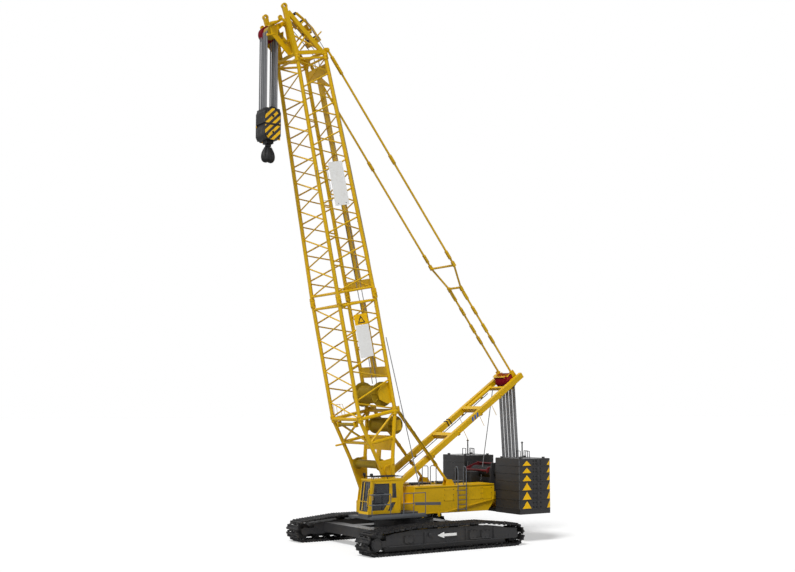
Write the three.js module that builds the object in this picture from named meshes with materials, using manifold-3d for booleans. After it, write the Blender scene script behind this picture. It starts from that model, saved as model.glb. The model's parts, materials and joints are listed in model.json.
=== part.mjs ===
// Crawler crane with a lattice main boom, modelled at full size.
// Millimetres, +Z up. Inside the crane group +X points forward, +Y points to the
// cab side, and the origin is on the ground under the slewing axis.
import * as THREE from "three";
import { mergeVertices } from "three/addons/utils/BufferGeometryUtils.js";
import Module from "manifold-3d";

const wasm = await Module();
wasm.setup();
const { Manifold, Mesh: SolidMesh } = wasm;

// ---------------------------------------------------------------- dimensions

const GAP = 0.3; // running gap between pieces that touch
const SMALLEST_DETAIL = 0.1; // edges shorter than this are merged away

// Crawlers
const CRAWLER_LENGTH = 9400;
const SHOE_WIDTH = 1170;
const TRACK_Y = 3481; // centre line of a crawler
const END_RADIUS = 567; // ground to the centre of an end wheel
const TRACK_THICKNESS = 160;
const SHOES = 60;
const SHOE_GROOVE = 45;
const TOP_RUN_Z = 1170; // underside of the raised top run
const TOP_RUN_FRONT_X = 2000;
const TOP_RUN_REAR_X = -2300;
const WHEEL_X = CRAWLER_LENGTH / 2 - END_RADIUS;
const WHEEL_RADIUS = END_RADIUS - TRACK_THICKNESS - 5;
const FRAME_HALF_WIDTH = 490;
const FRAME_BOTTOM_Z = 400;
const ROLLERS = 11;
const ROLLER_RADIUS = 115;

// Carbody and slewing ring
const BEAM_X = 2650;
const BEAM_WIDTH = 700;
const BEAM_BOTTOM_Z = 500;
const BEAM_TOP_Z = 980;
const HUB_TOP_Z = 1250;
const RING_RADIUS = 1450;

// Superstructure
const DECK_BOTTOM_Z = 1570;
const DECK_TOP_Z = 2950;
const DECK_FRONT_X = 400;
const DECK_REAR_X = -4680;
const HOUSE_HALF_WIDTH = 1560;
const FRAME_FRONT_X = 1950;
const FRAME_TOP_Z = 2150;
const TAIL_TOP_Z = 2500;

// Counterweight
const STACK_FRONT_X = -4916;
const STACK_REAR_X = -6930;
const STACK_INNER_Y = 1385;
const STACK_OUTER_Y = 3425;
const TRAY_BOTTOM_Z = 1450;
const TRAY_TOP_Z = 1680;
const SLAB_HEIGHTS = [470, 470, 470, 400, 400, 400]; // from the bottom up
const SLAB_SEAM = 14;

// Cab: its front and rear lean back by the same amount, floor to roof
const CAB_REAR_X = 1850; // at the floor, as the next line
const CAB_FRONT_X = 3720;
const CAB_LEAN = 200;
const CAB_INNER_Y = 1640;
const CAB_OUTER_Y = 2520;
const CAB_FLOOR_Z = 1830;
const CAB_TOP_Z = 3490;
const CAB_WALL = 50;
const CAB_ROOF = 60;
const PLATFORM_BOTTOM_Z = 1600;
const PLATFORM_TOP_Z = 1690;

// Cab door: the rear edge drops straight to the kink, then runs forward to the sill
const DOOR_REAR_X = 2400;
const DOOR_SILL_REAR_X = 2720;
const DOOR_FRONT_X = 3620; // at the sill
const DOOR_BOTTOM_Z = 1900;
const DOOR_KINK_Z = 2450;
const DOOR_TOP_Z = 3370;
const DOOR_GAP = 7;
const DOOR_THICKNESS = 44;
const DOOR_HINGE = new THREE.Vector3(DOOR_REAR_X + 20, CAB_OUTER_Y + 24, 0);
const DOOR_HINGE_HEIGHTS = [2600, 3200];

// Boom: s runs from the foot pin to the head, n is the front normal
const BOOM_FOOT = new THREE.Vector3(1633, 0, 2773);
const BOOM_ANGLE = 78.11; // above the forward horizontal, in degrees
const BOOM_HALF_WIDTH = 1320;
const BOOM_HALF_DEPTH = 1060;
const KNUCKLE_S = 3880; // the tapered foot ends here
const SEAM_S = 4100; // joint between the foot and the side trusses
const SECTION_S = 9900; // pinned joint between the two boom sections
const JOINT_FRAME = 330; // from the section joint to the cross bars on either side of it
const HEAD_S = 22120;
const HEAD_HALF_WIDTH = 1030;
const HEAD_HALF_DEPTH = 813;
const CHORD_RADIUS = 100;
const LACING_RADIUS = 42;
const LACING_SIDES = 4;
const NODE_OFFSET = 55; // half the distance between two side bars at a chord
const NODE_INSET = 50; // where two front or rear bars meet, inside the chord's axis
const CROSS_PLATE = 40;
const WALKWAY_HALF_WIDTH = 240;
const CHORD_SIDES = 6;
const FOOT_PIN_RADIUS = 110;
const FRAME_BAR_RADIUS = 60; // bars across the boom at its section joint and head

// Jib ears on the head, in boom coordinates
const EAR_N = 1040;
const EAR_S = 24640;
const EAR_RADIUS = 150;
const EAR_BORE = 70;
const HEAD_FRAME_S = HEAD_S + 170; // the bars round the foot of the head

// Head sheaves, in boom coordinates
const SHEAVE_S = 23540;
const SHEAVE_N = 1560;
const SHEAVE_RADIUS = 330;
const ROPE_REACH = 290; // radius at which the hoist rope leaves the sheaves
const ROPE_RADIUS = 18;
const GROOVE_RADIUS = ROPE_REACH - ROPE_RADIUS - GAP;
const FALL_PITCH = 160;

// Mast
const MAST_FOOT = new THREE.Vector3(950, 0, 3050);
const MAST_TIP = new THREE.Vector3(-7163, 0, 8707);
const MAST_LEG_Y = 860;
const MAST_LEG_WIDTH = 230;
const MAST_LEG_DEPTH = 290;
const MAST_PIN_RADIUS = 90;

// Pendants
const PENDANT_TOP = new THREE.Vector3(5267, 1050, 24863);
const SPREADER_TOP = new THREE.Vector3(-2443, 1040, 14554);
const SPREADER_LOW = new THREE.Vector3(-3389, 540, 13246);
const PENDANT_END = new THREE.Vector3(-6700, 540, 8860);

// Backstops
const BACKSTOP_S = 3930;
const BACKSTOP_N = -1290;
const BACKSTOP_Y = 1110;
const BACKSTOP_FOOT = new THREE.Vector3(-2027, BACKSTOP_Y, 3060);

// Hook block, hanging under the head sheaves
const BLOCK_TOP_Z = 21600;
const BLOCK_BOTTOM_Z = 20000;
const BLOCK_HALF_X = 440;
const BLOCK_HALF_Y = 500;
const HOOK_BOTTOM_Z = 19080;

// ------------------------------------------------------------------ materials

const paint = (color, roughness, metalness) => () =>
  new THREE.MeshStandardMaterial({ color, roughness, metalness });
const YELLOW = paint(0xd9a21b, 0.45, 0.1);
const CHARCOAL = paint(0x3a3a3a, 0.5, 0.2);
const BLACK = paint(0x1c1c1c, 0.6, 0.3);
const STEEL = paint(0x6b7077, 0.5, 0.6);
const ROPE = paint(0x7d7d7d, 0.6, 0.7);
const RED = paint(0x8c1420, 0.5, 0.2);
const GLASS = paint(0x3a3c40, 0.1, 0);
const CLOTH = paint(0x2a2a2c, 0.9, 0);

// --------------------------------------------------------------- shape helpers

const vec = (x, y, z) => new THREE.Vector3(x, y, z);
const rad = THREE.MathUtils.degToRad;

function solidFrom(geometry) {
  const bare = new THREE.BufferGeometry();
  const source = geometry.index ? geometry.toNonIndexed() : geometry;
  bare.setAttribute("position", source.getAttribute("position"));
  const merged = mergeVertices(bare, 1e-3);
  const corners = [...merged.index.array];
  const faces = [];
  for (let i = 0; i < corners.length; i += 3) {
    const [a, b, c] = corners.slice(i, i + 3);
    if (a !== b && b !== c && c !== a) faces.push(a, b, c);
  }
  return new Manifold(
    new SolidMesh({
      numProp: 3,
      vertProperties: merged.attributes.position.array,
      triVerts: new Uint32Array(faces),
    }),
  );
}

function geometryFrom(solid) {
  const { vertProperties, triVerts } = solid.simplify(SMALLEST_DETAIL).getMesh();
  const geometry = new THREE.BufferGeometry();
  geometry.setAttribute("position", new THREE.BufferAttribute(vertProperties, 3));
  geometry.setIndex(new THREE.BufferAttribute(triVerts, 1));
  geometry.computeVertexNormals();
  return geometry;
}

const join = (...solids) => Manifold.union(solids.flat());
const mirrorY = (solid) => solid.mirror([0, 1, 0]);
const bothSides = (solid) => join(solid, mirrorY(solid));

function box(x0, x1, y0, y1, z0, z1) {
  const geometry = new THREE.BoxGeometry(x1 - x0, y1 - y0, z1 - z0);
  geometry.translate((x0 + x1) / 2, (y0 + y1) / 2, (z0 + z1) / 2);
  return solidFrom(geometry);
}

// Turns a geometry built along +Y so that it runs from a to b.
function alongLine(geometry, a, b) {
  const turn = new THREE.Quaternion().setFromUnitVectors(
    vec(0, 1, 0),
    b.clone().sub(a).normalize(),
  );
  geometry.applyQuaternion(turn);
  const middle = a.clone().add(b).multiplyScalar(0.5);
  return geometry.translate(middle.x, middle.y, middle.z);
}

function rod(a, b, radius, sides = 8) {
  const shape = new THREE.CylinderGeometry(radius, radius, a.distanceTo(b), sides);
  return solidFrom(alongLine(shape, a, b));
}

// A box beam from a to b, both at the same y: width across, depth in the XZ plane.
function beam(a, b, width, depth) {
  const length = a.distanceTo(b);
  const geometry = new THREE.BoxGeometry(length, width, depth);
  geometry.rotateY(-Math.atan2(b.z - a.z, b.x - a.x));
  geometry.translate((a.x + b.x) / 2, (a.y + b.y) / 2, (a.z + b.z) / 2);
  return solidFrom(geometry);
}

// An outline drawn in x and z, thickened from y0 to y1.
function plate(shape, y0, y1, curveSegments = 12) {
  const geometry = new THREE.ExtrudeGeometry(shape, {
    depth: y1 - y0,
    bevelEnabled: false,
    curveSegments,
  });
  geometry.rotateX(Math.PI / 2);
  geometry.translate(0, y1, 0);
  return solidFrom(geometry);
}

const outline = (...points) =>
  new THREE.Shape(points.map(([x, z]) => new THREE.Vector2(x, z)));

// A disc or drum whose axis runs along Y.
const wheel = (x, z, y0, y1, radius, sides = 20) =>
  rod(vec(x, y0, z), vec(x, y1, z), radius, sides);

const PIN_SIDES = 30;

// The hole for a pin of this radius, wide enough to clear it at every turn.
const bore = (x, z, y0, y1, radius) =>
  wheel(x, z, y0, y1, (radius + GAP) / Math.cos(Math.PI / PIN_SIDES), PIN_SIDES);

// A turned piece on an axis along Y; profile points are [radius, y].
function turned(x, z, profile, sides = 20) {
  const geometry = new THREE.LatheGeometry(
    profile.map(([r, y]) => new THREE.Vector2(r, y)),
    sides,
  );
  geometry.translate(x, 0, z);
  const solid = solidFrom(geometry);
  return solid.volume() < 0 ? solidFrom(flipped(geometry)) : solid;
}

function flipped(geometry) {
  const loose = geometry.toNonIndexed();
  const p = loose.getAttribute("position");
  for (let i = 0; i < p.count; i += 3) {
    const b = vec().fromBufferAttribute(p, i + 1);
    const c = vec().fromBufferAttribute(p, i + 2);
    p.setXYZ(i + 1, c.x, c.y, c.z);
    p.setXYZ(i + 2, b.x, b.y, b.z);
  }
  return loose;
}

const boomTilt = rad(90 - BOOM_ANGLE);

// Boom coordinates of a point given in crane coordinates.
function toBoom(point) {
  return point.clone().sub(BOOM_FOOT).applyAxisAngle(vec(0, 1, 0), -boomTilt);
}
function fromBoom(point) {
  return point.clone().applyAxisAngle(vec(0, 1, 0), boomTilt).add(BOOM_FOOT);
}
const PENDANT_LOCAL = toBoom(PENDANT_TOP);

// ------------------------------------------------------------- undercarriage

// Angle on a circle where a line from a point outside touches it.
function tangentAngle(cx, cz, radius, x, z, side) {
  const reach = Math.hypot(x - cx, z - cz);
  return Math.atan2(z - cz, x - cx) + side * Math.acos(radius / reach);
}

// The inner line of the track, drawn anticlockwise from the rear of the ground run.
function trackPath() {
  const radius = END_RADIUS - TRACK_THICKNESS;
  const front = tangentAngle(WHEEL_X, END_RADIUS, radius, TOP_RUN_FRONT_X, TOP_RUN_Z, -1);
  const rear = tangentAngle(-WHEEL_X, END_RADIUS, radius, TOP_RUN_REAR_X, TOP_RUN_Z, 1);
  const path = new THREE.Path();
  path.moveTo(-WHEEL_X, TRACK_THICKNESS);
  path.lineTo(WHEEL_X, TRACK_THICKNESS);
  path.absarc(WHEEL_X, END_RADIUS, radius, -Math.PI / 2, front, false);
  path.lineTo(TOP_RUN_FRONT_X, TOP_RUN_Z);
  path.lineTo(TOP_RUN_REAR_X, TOP_RUN_Z);
  path.absarc(-WHEEL_X, END_RADIUS, radius, rear, (3 * Math.PI) / 2, false);
  return path;
}

function track() {
  const path = trackPath();
  const offset = (u, depth) => {
    const point = path.getPointAt(u % 1);
    const along = path.getTangentAt(u % 1);
    return new THREE.Vector2(point.x + along.y * depth, point.y - along.x * depth);
  };
  const outer = [];
  const groove = TRACK_THICKNESS - SHOE_GROOVE;
  for (let i = 0; i < SHOES; i++) {
    outer.push(offset(i / SHOES, groove));
    outer.push(offset((i + 0.1) / SHOES, TRACK_THICKNESS));
    outer.push(offset((i + 0.9) / SHOES, TRACK_THICKNESS));
  }
  const shape = new THREE.Shape(outer);
  shape.holes.push(new THREE.Path(path.getPoints(11).slice(0, -1)));
  return plate(shape, TRACK_Y - SHOE_WIDTH / 2, TRACK_Y + SHOE_WIDTH / 2);
}

function crawlerFrame() {
  const inner = TRACK_Y - FRAME_HALF_WIDTH;
  const outer = TRACK_Y + FRAME_HALF_WIDTH;
  const body = plate(
    outline(
      [-3600, FRAME_BOTTOM_Z],
      [3600, FRAME_BOTTOM_Z],
      [3600, 950],
      [TOP_RUN_FRONT_X + 200, 1060],
      [TOP_RUN_REAR_X, 1060],
      [-3600, 930],
    ),
    inner,
    outer,
  );
  const forks = [WHEEL_X, -WHEEL_X].flatMap((x) =>
    [inner + 20, outer - 140].map((y) =>
      join(
        box(Math.min(x, Math.sign(x) * 3500), Math.max(x, Math.sign(x) * 3500), y, y + 120, 430, 720),
        wheel(x, END_RADIUS, y, y + 120, 200),
      ),
    ),
  );
  const hubCover = wheel(WHEEL_X, END_RADIUS, outer - 60, outer + 50, 300, 28);
  const rearPlate = plate(
    outline([-4210, 410], [-2770, 410], [-2770, 1000], [-4210, 890]),
    outer - 20,
    outer + 34,
  );
  const skids = [-1900, -650, 600, 1750].map((x) =>
    box(x - 160, x + 160, TRACK_Y - 180, TRACK_Y + 180, 1000, TOP_RUN_Z - GAP),
  );
  return join(body, forks, hubCover, rearPlate, skids);
}

function idler() {
  const half = FRAME_HALF_WIDTH - 140 - GAP;
  const r = WHEEL_RADIUS;
  return turned(WHEEL_X, END_RADIUS, [
    [0, TRACK_Y - half],
    [190, TRACK_Y - half],
    [190, TRACK_Y - 230],
    [r, TRACK_Y - 230],
    [r, TRACK_Y - 90],
    [r - 60, TRACK_Y - 90],
    [r - 60, TRACK_Y + 90],
    [r, TRACK_Y + 90],
    [r, TRACK_Y + 230],
    [190, TRACK_Y + 230],
    [190, TRACK_Y + half],
    [0, TRACK_Y + half],
  ], 20);
}

function sprocket() {
  const half = FRAME_HALF_WIDTH - 140 - GAP;
  const shape = new THREE.Shape();
  const teeth = 11;
  for (let i = 0; i < teeth * 4; i++) {
    const angle = (2 * Math.PI * i) / (teeth * 4);
    const r = i % 4 < 2 ? WHEEL_RADIUS : WHEEL_RADIUS - 70;
    const x = -WHEEL_X + r * Math.cos(angle);
    const z = END_RADIUS + r * Math.sin(angle);
    if (i === 0) shape.moveTo(x, z);
    else shape.lineTo(x, z);
  }
  return join(
    plate(shape, TRACK_Y - 260, TRACK_Y - 120),
    plate(shape, TRACK_Y + 120, TRACK_Y + 260),
    wheel(-WHEEL_X, END_RADIUS, TRACK_Y - half, TRACK_Y + half, 230),
  );
}

function rollerSet() {
  const spread = 3300;
  const rail = box(-3420, 3420, TRACK_Y - 230, TRACK_Y + 230, 300, FRAME_BOTTOM_Z - GAP);
  const rollers = [];
  for (let i = 0; i < ROLLERS; i++) {
    const x = -spread + (2 * spread * i) / (ROLLERS - 1);
    rollers.push(
      wheel(x, TRACK_THICKNESS + GAP + ROLLER_RADIUS, TRACK_Y - 300, TRACK_Y + 300, ROLLER_RADIUS, 8),
    );
  }
  return join(rail, rollers);
}

function travelDrive() {
  const face = TRACK_Y - FRAME_HALF_WIDTH + 20 - GAP;
  return turned(-WHEEL_X, END_RADIUS, [
    [0, face],
    [300, face],
    [300, face - 170],
    [240, face - 200],
    [240, face - 330],
    [150, face - 330],
    [150, face - 520],
    [0, face - 520],
  ]);
}

function carbody() {
  const reach = TRACK_Y - FRAME_HALF_WIDTH - GAP;
  const crossBeams = [1, -1].map((end) =>
    box(
      end * BEAM_X - BEAM_WIDTH / 2,
      end * BEAM_X + BEAM_WIDTH / 2,
      -reach,
      reach,
      BEAM_BOTTOM_Z,
      BEAM_TOP_Z,
    ),
  );
  const spines = bothSides(box(-BEAM_X, BEAM_X, 500, 1250, BEAM_BOTTOM_Z, BEAM_TOP_Z));
  const hub = rod(vec(0, 0, BEAM_BOTTOM_Z), vec(0, 0, HUB_TOP_Z), 1550, 28);
  return join(crossBeams, spines, hub);
}

function slewingRing() {
  const ring = (z0, z1, radius) => rod(vec(0, 0, z0), vec(0, 0, z1), radius, 32);
  return join(
    ring(HUB_TOP_Z + GAP, HUB_TOP_Z + 130, RING_RADIUS + 60),
    ring(HUB_TOP_Z + 130, DECK_BOTTOM_Z - GAP, RING_RADIUS - 60),
  );
}

// ------------------------------------------------------------ superstructure

// A pin bracket: two cheeks on one side, with the pin between them.
function pinBracket(foot, { y, inside, cheek, radius, reach }) {
  const baseZ = FRAME_TOP_Z - 20;
  const tab = new THREE.Shape();
  tab.moveTo(foot.x - reach, baseZ);
  tab.lineTo(foot.x + reach, baseZ);
  tab.lineTo(foot.x + radius * 1.9, foot.z);
  tab.absarc(foot.x, foot.z, radius * 1.9, 0, Math.PI, false);
  const left = plate(tab, y - inside - cheek, y - inside, 8);
  const right = plate(tab, y + inside, y + inside + cheek, 8);
  const pin = wheel(foot.x, foot.z, y - inside - cheek, y + inside + cheek, radius, PIN_SIDES);
  return join(left, right, pin);
}

function superstructureFrame() {
  const base = plate(
    outline(
      [DECK_REAR_X, 2000],
      [-4300, DECK_BOTTOM_Z],
      [FRAME_FRONT_X, DECK_BOTTOM_Z],
      [FRAME_FRONT_X, FRAME_TOP_Z],
      [DECK_REAR_X, FRAME_TOP_Z],
    ),
    -1500,
    1500,
  );
  const tail = [
    box(STACK_REAR_X - 120, -5300, -1150, 1150, TRAY_TOP_Z + GAP, FRAME_TOP_Z - 10),
    box(STACK_REAR_X - 120, DECK_REAR_X + 200, -1150, 1150, 2010, FRAME_TOP_Z - 10),
    box(STACK_REAR_X - 120, DECK_REAR_X - GAP, -1150, 1150, FRAME_TOP_Z - 20, TAIL_TOP_Z),
  ];
  const boomBrackets = bothSides(
    pinBracket(BOOM_FOOT, {
      y: BOOM_HALF_WIDTH,
      inside: 75,
      cheek: 60,
      radius: FOOT_PIN_RADIUS,
      reach: 300,
    }),
  );
  const mastBrackets = bothSides(
    pinBracket(MAST_FOOT, {
      y: MAST_LEG_Y,
      inside: MAST_LEG_WIDTH / 2 + 15,
      cheek: 50,
      radius: MAST_PIN_RADIUS,
      reach: 330,
    }),
  );
  return join(base, ...tail, boomBrackets, mastBrackets);
}

// One of the two machinery houses beside the frame, with a guide channel for the backstop foot.
function machineryHouse() {
  const side = plate(
    outline(
      [DECK_REAR_X, 2130],
      [-1900, DECK_BOTTOM_Z + 10],
      [DECK_FRONT_X, DECK_BOTTOM_Z + 10],
      [DECK_FRONT_X, DECK_TOP_Z],
      [DECK_REAR_X, DECK_TOP_Z],
    ),
    1500 + GAP,
    HOUSE_HALF_WIDTH,
  );
  const house = box(DECK_REAR_X, DECK_FRONT_X, 420, HOUSE_HALF_WIDTH, FRAME_TOP_Z + GAP, DECK_TOP_Z);
  const channel = box(-2750, -1720, BACKSTOP_Y - 120, BACKSTOP_Y + 120, 2480, DECK_TOP_Z + 10);
  const cheek = outline([-2350, DECK_TOP_Z - 50], [-1750, DECK_TOP_Z - 50], [-1850, 3230], [-2150, 3230]);
  const cheeks = [BACKSTOP_Y - 170, BACKSTOP_Y + 120].map((y) => plate(cheek, y, y + 50));
  return join(side, house, cheeks).subtract(channel);
}

function counterweightTray() {
  const pads = bothSides(
    box(STACK_REAR_X, STACK_FRONT_X, STACK_INNER_Y, STACK_OUTER_Y, TRAY_BOTTOM_Z, TRAY_TOP_Z),
  );
  const bar = box(STACK_REAR_X + 100, STACK_FRONT_X - 100, -1500, 1500, TRAY_BOTTOM_Z, TRAY_TOP_Z);
  return join(pads, bar);
}

function counterweightStack() {
  const solids = [];
  let z = TRAY_TOP_Z + GAP;
  for (const height of SLAB_HEIGHTS) {
    solids.push(
      box(STACK_REAR_X, STACK_FRONT_X, STACK_INNER_Y, STACK_OUTER_Y, z, z + height - SLAB_SEAM),
      box(STACK_REAR_X + 12, STACK_FRONT_X - 12, STACK_INNER_Y + 12, STACK_OUTER_Y - 12, z, z + height),
    );
    z += height;
  }
  const knobs = [-5150, -6700].flatMap((x) =>
    [STACK_INNER_Y + 250, STACK_OUTER_Y - 250].map((y) =>
      rod(vec(x, y, z - 60), vec(x, y, z + 70), 80, 12),
    ),
  );
  return join(solids, knobs);
}

function engineBlock() {
  return box(-4300, -1500, -400, 400, FRAME_TOP_Z + GAP, DECK_TOP_Z - 200);
}

function winchDrum(x, z, half, core, flange) {
  return turned(x, z, [
    [0, -half],
    [flange, -half],
    [flange, -half + 45],
    [core, -half + 45],
    [core, half - 45],
    [flange, half - 45],
    [flange, half],
    [0, half],
  ], 20);
}

// Carries the luffing winch and, behind it, the lower sheaves of the luffing rope.
function luffingWinchFrame() {
  const floor = TAIL_TOP_Z + GAP;
  const cheek = plate(
    outline([-5900, floor], [-4750, floor], [-4900, 4000], [-5650, 4000]),
    1010,
    1080,
  );
  const runner = box(-7040, -4750, 850, 1080, floor, floor + 60);
  const strut = box(-5700, -5400, -1080, 1080, floor, floor + 100);
  const stand = plate(outline([-7040, floor], [-6500, floor], [-6780, 3900], [-7060, 3900]), 850, 920);
  const sheaves = wheel(-6900, 3640, -900, 900, 300, 28);
  return join(bothSides(join(cheek, runner, stand)), strut, sheaves);
}

function cabPlatform() {
  const front = CAB_FRONT_X + 40;
  const [bottom, top, under] = [PLATFORM_BOTTOM_Z, PLATFORM_TOP_Z, CAB_FLOOR_Z - GAP];
  const floor = box(CAB_REAR_X - 1300, front, HOUSE_HALF_WIDTH + GAP, CAB_OUTER_Y + 420, bottom, top);
  const porch = box(FRAME_FRONT_X + 1350, front, 780, HOUSE_HALF_WIDTH + 100, bottom, top);
  const arm = box(CAB_REAR_X - 1100, FRAME_FRONT_X, 1500 + GAP, CAB_OUTER_Y - 100, top, under);
  const step = box(CAB_REAR_X, CAB_FRONT_X, CAB_INNER_Y, CAB_OUTER_Y, top - 10, under);
  return join(floor, porch, arm, step);
}

// ----------------------------------------------------------------------- cab

const leanAt = (z) => (CAB_LEAN * (z - CAB_FLOOR_Z)) / (CAB_TOP_Z - CAB_FLOOR_Z);

// The cab seen from the side, with its floor, front and rear moved in by inset.
function cabProfile(inset, top) {
  return outline(
    [CAB_REAR_X + inset, CAB_FLOOR_Z + inset],
    [CAB_FRONT_X - inset, CAB_FLOOR_Z + inset],
    [CAB_FRONT_X - leanAt(top) - inset, top],
    [CAB_REAR_X - leanAt(top) + inset, top],
  );
}

// A leaning pane or slot between two heights, between two distances behind x.
const leaningOutline = (x, near, far, z0, z1) =>
  outline(
    [x - leanAt(z0) - far, z0],
    [x - leanAt(z0) - near, z0],
    [x - leanAt(z1) - near, z1],
    [x - leanAt(z1) - far, z1],
  );

function doorOutline(inset) {
  const bottom = DOOR_BOTTOM_Z + inset;
  const top = DOOR_TOP_Z - inset;
  const front = (z) => DOOR_FRONT_X - leanAt(z) + leanAt(DOOR_BOTTOM_Z) - inset;
  return outline(
    [DOOR_SILL_REAR_X + inset, bottom],
    [front(bottom), bottom],
    [front(top), top],
    [DOOR_REAR_X + inset, top],
    [DOOR_REAR_X + inset, DOOR_KINK_Z],
  );
}

const quarterOutline = (inset) =>
  outline(
    [2060 + inset, 2560 + inset],
    [2320 - inset, 2560 + inset],
    [2330 - inset, 3260 - inset],
    [2110 + inset, 3260 - inset],
  );

const lowerQuarterOutline = () => outline([2350, 1960], [2590, 1960], [2350, 2360], [2110, 2360]);

const WINDSCREEN_Z = [1960, 3370];
const REAR_WINDOW_Z = [2650, 3300];
const FAR_WINDOW = { x0: 2150, x1: 3300, z0: 2450, z1: 3340 };

// Floor, front, rear and inner side of the cab in one, open towards the door side.
function cabShell() {
  const w = CAB_WALL;
  const outside = CAB_OUTER_Y - w;
  const top = CAB_TOP_Z - CAB_ROOF - GAP;
  const shell = plate(cabProfile(0, top), CAB_INNER_Y, outside)
    .subtract(plate(cabProfile(w, CAB_TOP_Z), CAB_INNER_Y + w, CAB_OUTER_Y));
  const windscreen = plate(
    leaningOutline(CAB_FRONT_X, -50, 120, ...WINDSCREEN_Z),
    CAB_INNER_Y + 70,
    CAB_OUTER_Y - 70,
  );
  const far = FAR_WINDOW;
  const farSide = box(far.x0, far.x1, CAB_INNER_Y - 50, CAB_INNER_Y + 100, far.z0, far.z1);
  const rearWindow = plate(
    leaningOutline(CAB_REAR_X, -120, 50, ...REAR_WINDOW_Z),
    CAB_INNER_Y + 120,
    CAB_OUTER_Y - 120,
  );
  return shell.subtract(join(windscreen, farSide, rearWindow));
}

// The wall on the door side, with the doorway and two quarter windows.
function cabSideFrame() {
  const y0 = CAB_OUTER_Y - CAB_WALL + GAP;
  const through = (shape) => plate(shape, CAB_OUTER_Y - 100, CAB_OUTER_Y + 50);
  const wall = plate(cabProfile(0, CAB_TOP_Z - CAB_ROOF - GAP), y0, CAB_OUTER_Y)
    .subtract(join(through(doorOutline(0)), through(quarterOutline(0)), through(lowerQuarterOutline())));
  const lugs = DOOR_HINGE_HEIGHTS.map((z) => {
    const low = z + 60 + GAP;
    return join(
      box(DOOR_REAR_X - 40, DOOR_REAR_X - 2, CAB_OUTER_Y - 10, DOOR_HINGE.y + 12, low, low + 50),
      box(DOOR_REAR_X - 40, DOOR_HINGE.x, DOOR_HINGE.y - 12, DOOR_HINGE.y + 12, low, low + 50),
      rod(vec(DOOR_HINGE.x, DOOR_HINGE.y, low), vec(DOOR_HINGE.x, DOOR_HINGE.y, low + 50), 18, 12),
    );
  });
  return join(wall, lugs);
}

const cabRoof = () =>
  box(
    CAB_REAR_X - CAB_LEAN - 30,
    CAB_FRONT_X - CAB_LEAN + 40,
    CAB_INNER_Y - 20,
    CAB_OUTER_Y + 20,
    CAB_TOP_Z - CAB_ROOF,
    CAB_TOP_Z,
  );

const DOOR_FRAME = 95; // from the edge of the door to its glass

function cabDoor() {
  const y1 = CAB_OUTER_Y - 2;
  const y0 = y1 - DOOR_THICKNESS;
  const leaf = plate(doorOutline(DOOR_GAP), y0, y1);
  const window = plate(doorOutline(DOOR_FRAME), y0 - 20, y1 + 20);
  const hinges = DOOR_HINGE_HEIGHTS.map((z) =>
    join(
      rod(vec(DOOR_HINGE.x, DOOR_HINGE.y, z - 60), vec(DOOR_HINGE.x, DOOR_HINGE.y, z + 60), 18, 12),
      box(DOOR_HINGE.x - 5, DOOR_HINGE.x + 60, y1 - 10, DOOR_HINGE.y + 5, z - 40, z + 40),
    ),
  );
  const grip = DOOR_FRONT_X - leanAt(2700) - 60;
  const handle = join(
    box(grip, grip + 30, y1 - 5, y1 + 50, 2500, 2530),
    box(grip, grip + 30, y1 - 5, y1 + 50, 2720, 2750),
    box(grip, grip + 30, y1 + 30, y1 + 50, 2500, 2750),
  );
  return join(leaf.subtract(window), hinges, handle);
}

function doorGlass() {
  const y1 = CAB_OUTER_Y - 14;
  return plate(doorOutline(DOOR_FRAME + GAP), y1 - 10, y1);
}

const windscreenGlass = () =>
  plate(
    leaningOutline(CAB_FRONT_X, 20, 34, WINDSCREEN_Z[0] + GAP, WINDSCREEN_Z[1] - GAP),
    CAB_INNER_Y + 70 + GAP,
    CAB_OUTER_Y - 70 - GAP,
  );
const quarterGlass = () => plate(quarterOutline(GAP), CAB_OUTER_Y - 30, CAB_OUTER_Y - 18);
const farGlass = () =>
  box(
    FAR_WINDOW.x0 + GAP,
    FAR_WINDOW.x1 - GAP,
    CAB_INNER_Y + 18,
    CAB_INNER_Y + 30,
    FAR_WINDOW.z0 + GAP,
    FAR_WINDOW.z1 - GAP,
  );
const rearGlass = () =>
  plate(
    leaningOutline(CAB_REAR_X, -30, -18, REAR_WINDOW_Z[0] + GAP, REAR_WINDOW_Z[1] - GAP),
    CAB_INNER_Y + 120 + GAP,
    CAB_OUTER_Y - 120 - GAP,
  );

function operatorSeat() {
  const x = 2500; // middle of the cushion
  const y = (CAB_INNER_Y + CAB_OUTER_Y) / 2;
  const floor = CAB_FLOOR_Z + CAB_WALL + GAP;
  const back = outline(
    [x - 290, floor + 400],
    [x - 160, floor + 400],
    [x - 290, floor + 1150],
    [x - 390, floor + 1150],
  );
  return join(
    box(x - 200, x + 200, y - 170, y + 170, floor, floor + 330),
    box(x - 270, x + 270, y - 250, y + 250, floor + 300, floor + 440),
    plate(back, y - 230, y + 230),
  );
}

// ---------------------------------------------------------------------- boom
// Boom pieces are drawn in boom coordinates: x is n, z is s.

const halfWidthAt = (s) =>
  s <= SECTION_S
    ? BOOM_HALF_WIDTH
    : THREE.MathUtils.mapLinear(s, SECTION_S, HEAD_S, BOOM_HALF_WIDTH, HEAD_HALF_WIDTH);

function halfDepthAt(s) {
  if (s < KNUCKLE_S) return (BOOM_HALF_DEPTH * s) / KNUCKLE_S;
  if (s < SECTION_S) return BOOM_HALF_DEPTH;
  return THREE.MathUtils.mapLinear(s, SECTION_S, HEAD_S, BOOM_HALF_DEPTH, HEAD_HALF_DEPTH);
}

// A point on one of the four chords: front is 1 or -1, left is 1 or -1.
const onChord = (s, front, left, inset = 0) =>
  vec(front * halfDepthAt(s), left * (halfWidthAt(s) - inset), s);

const CORNERS = [
  [1, 1],
  [-1, 1],
  [-1, -1],
  [1, -1],
];

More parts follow.
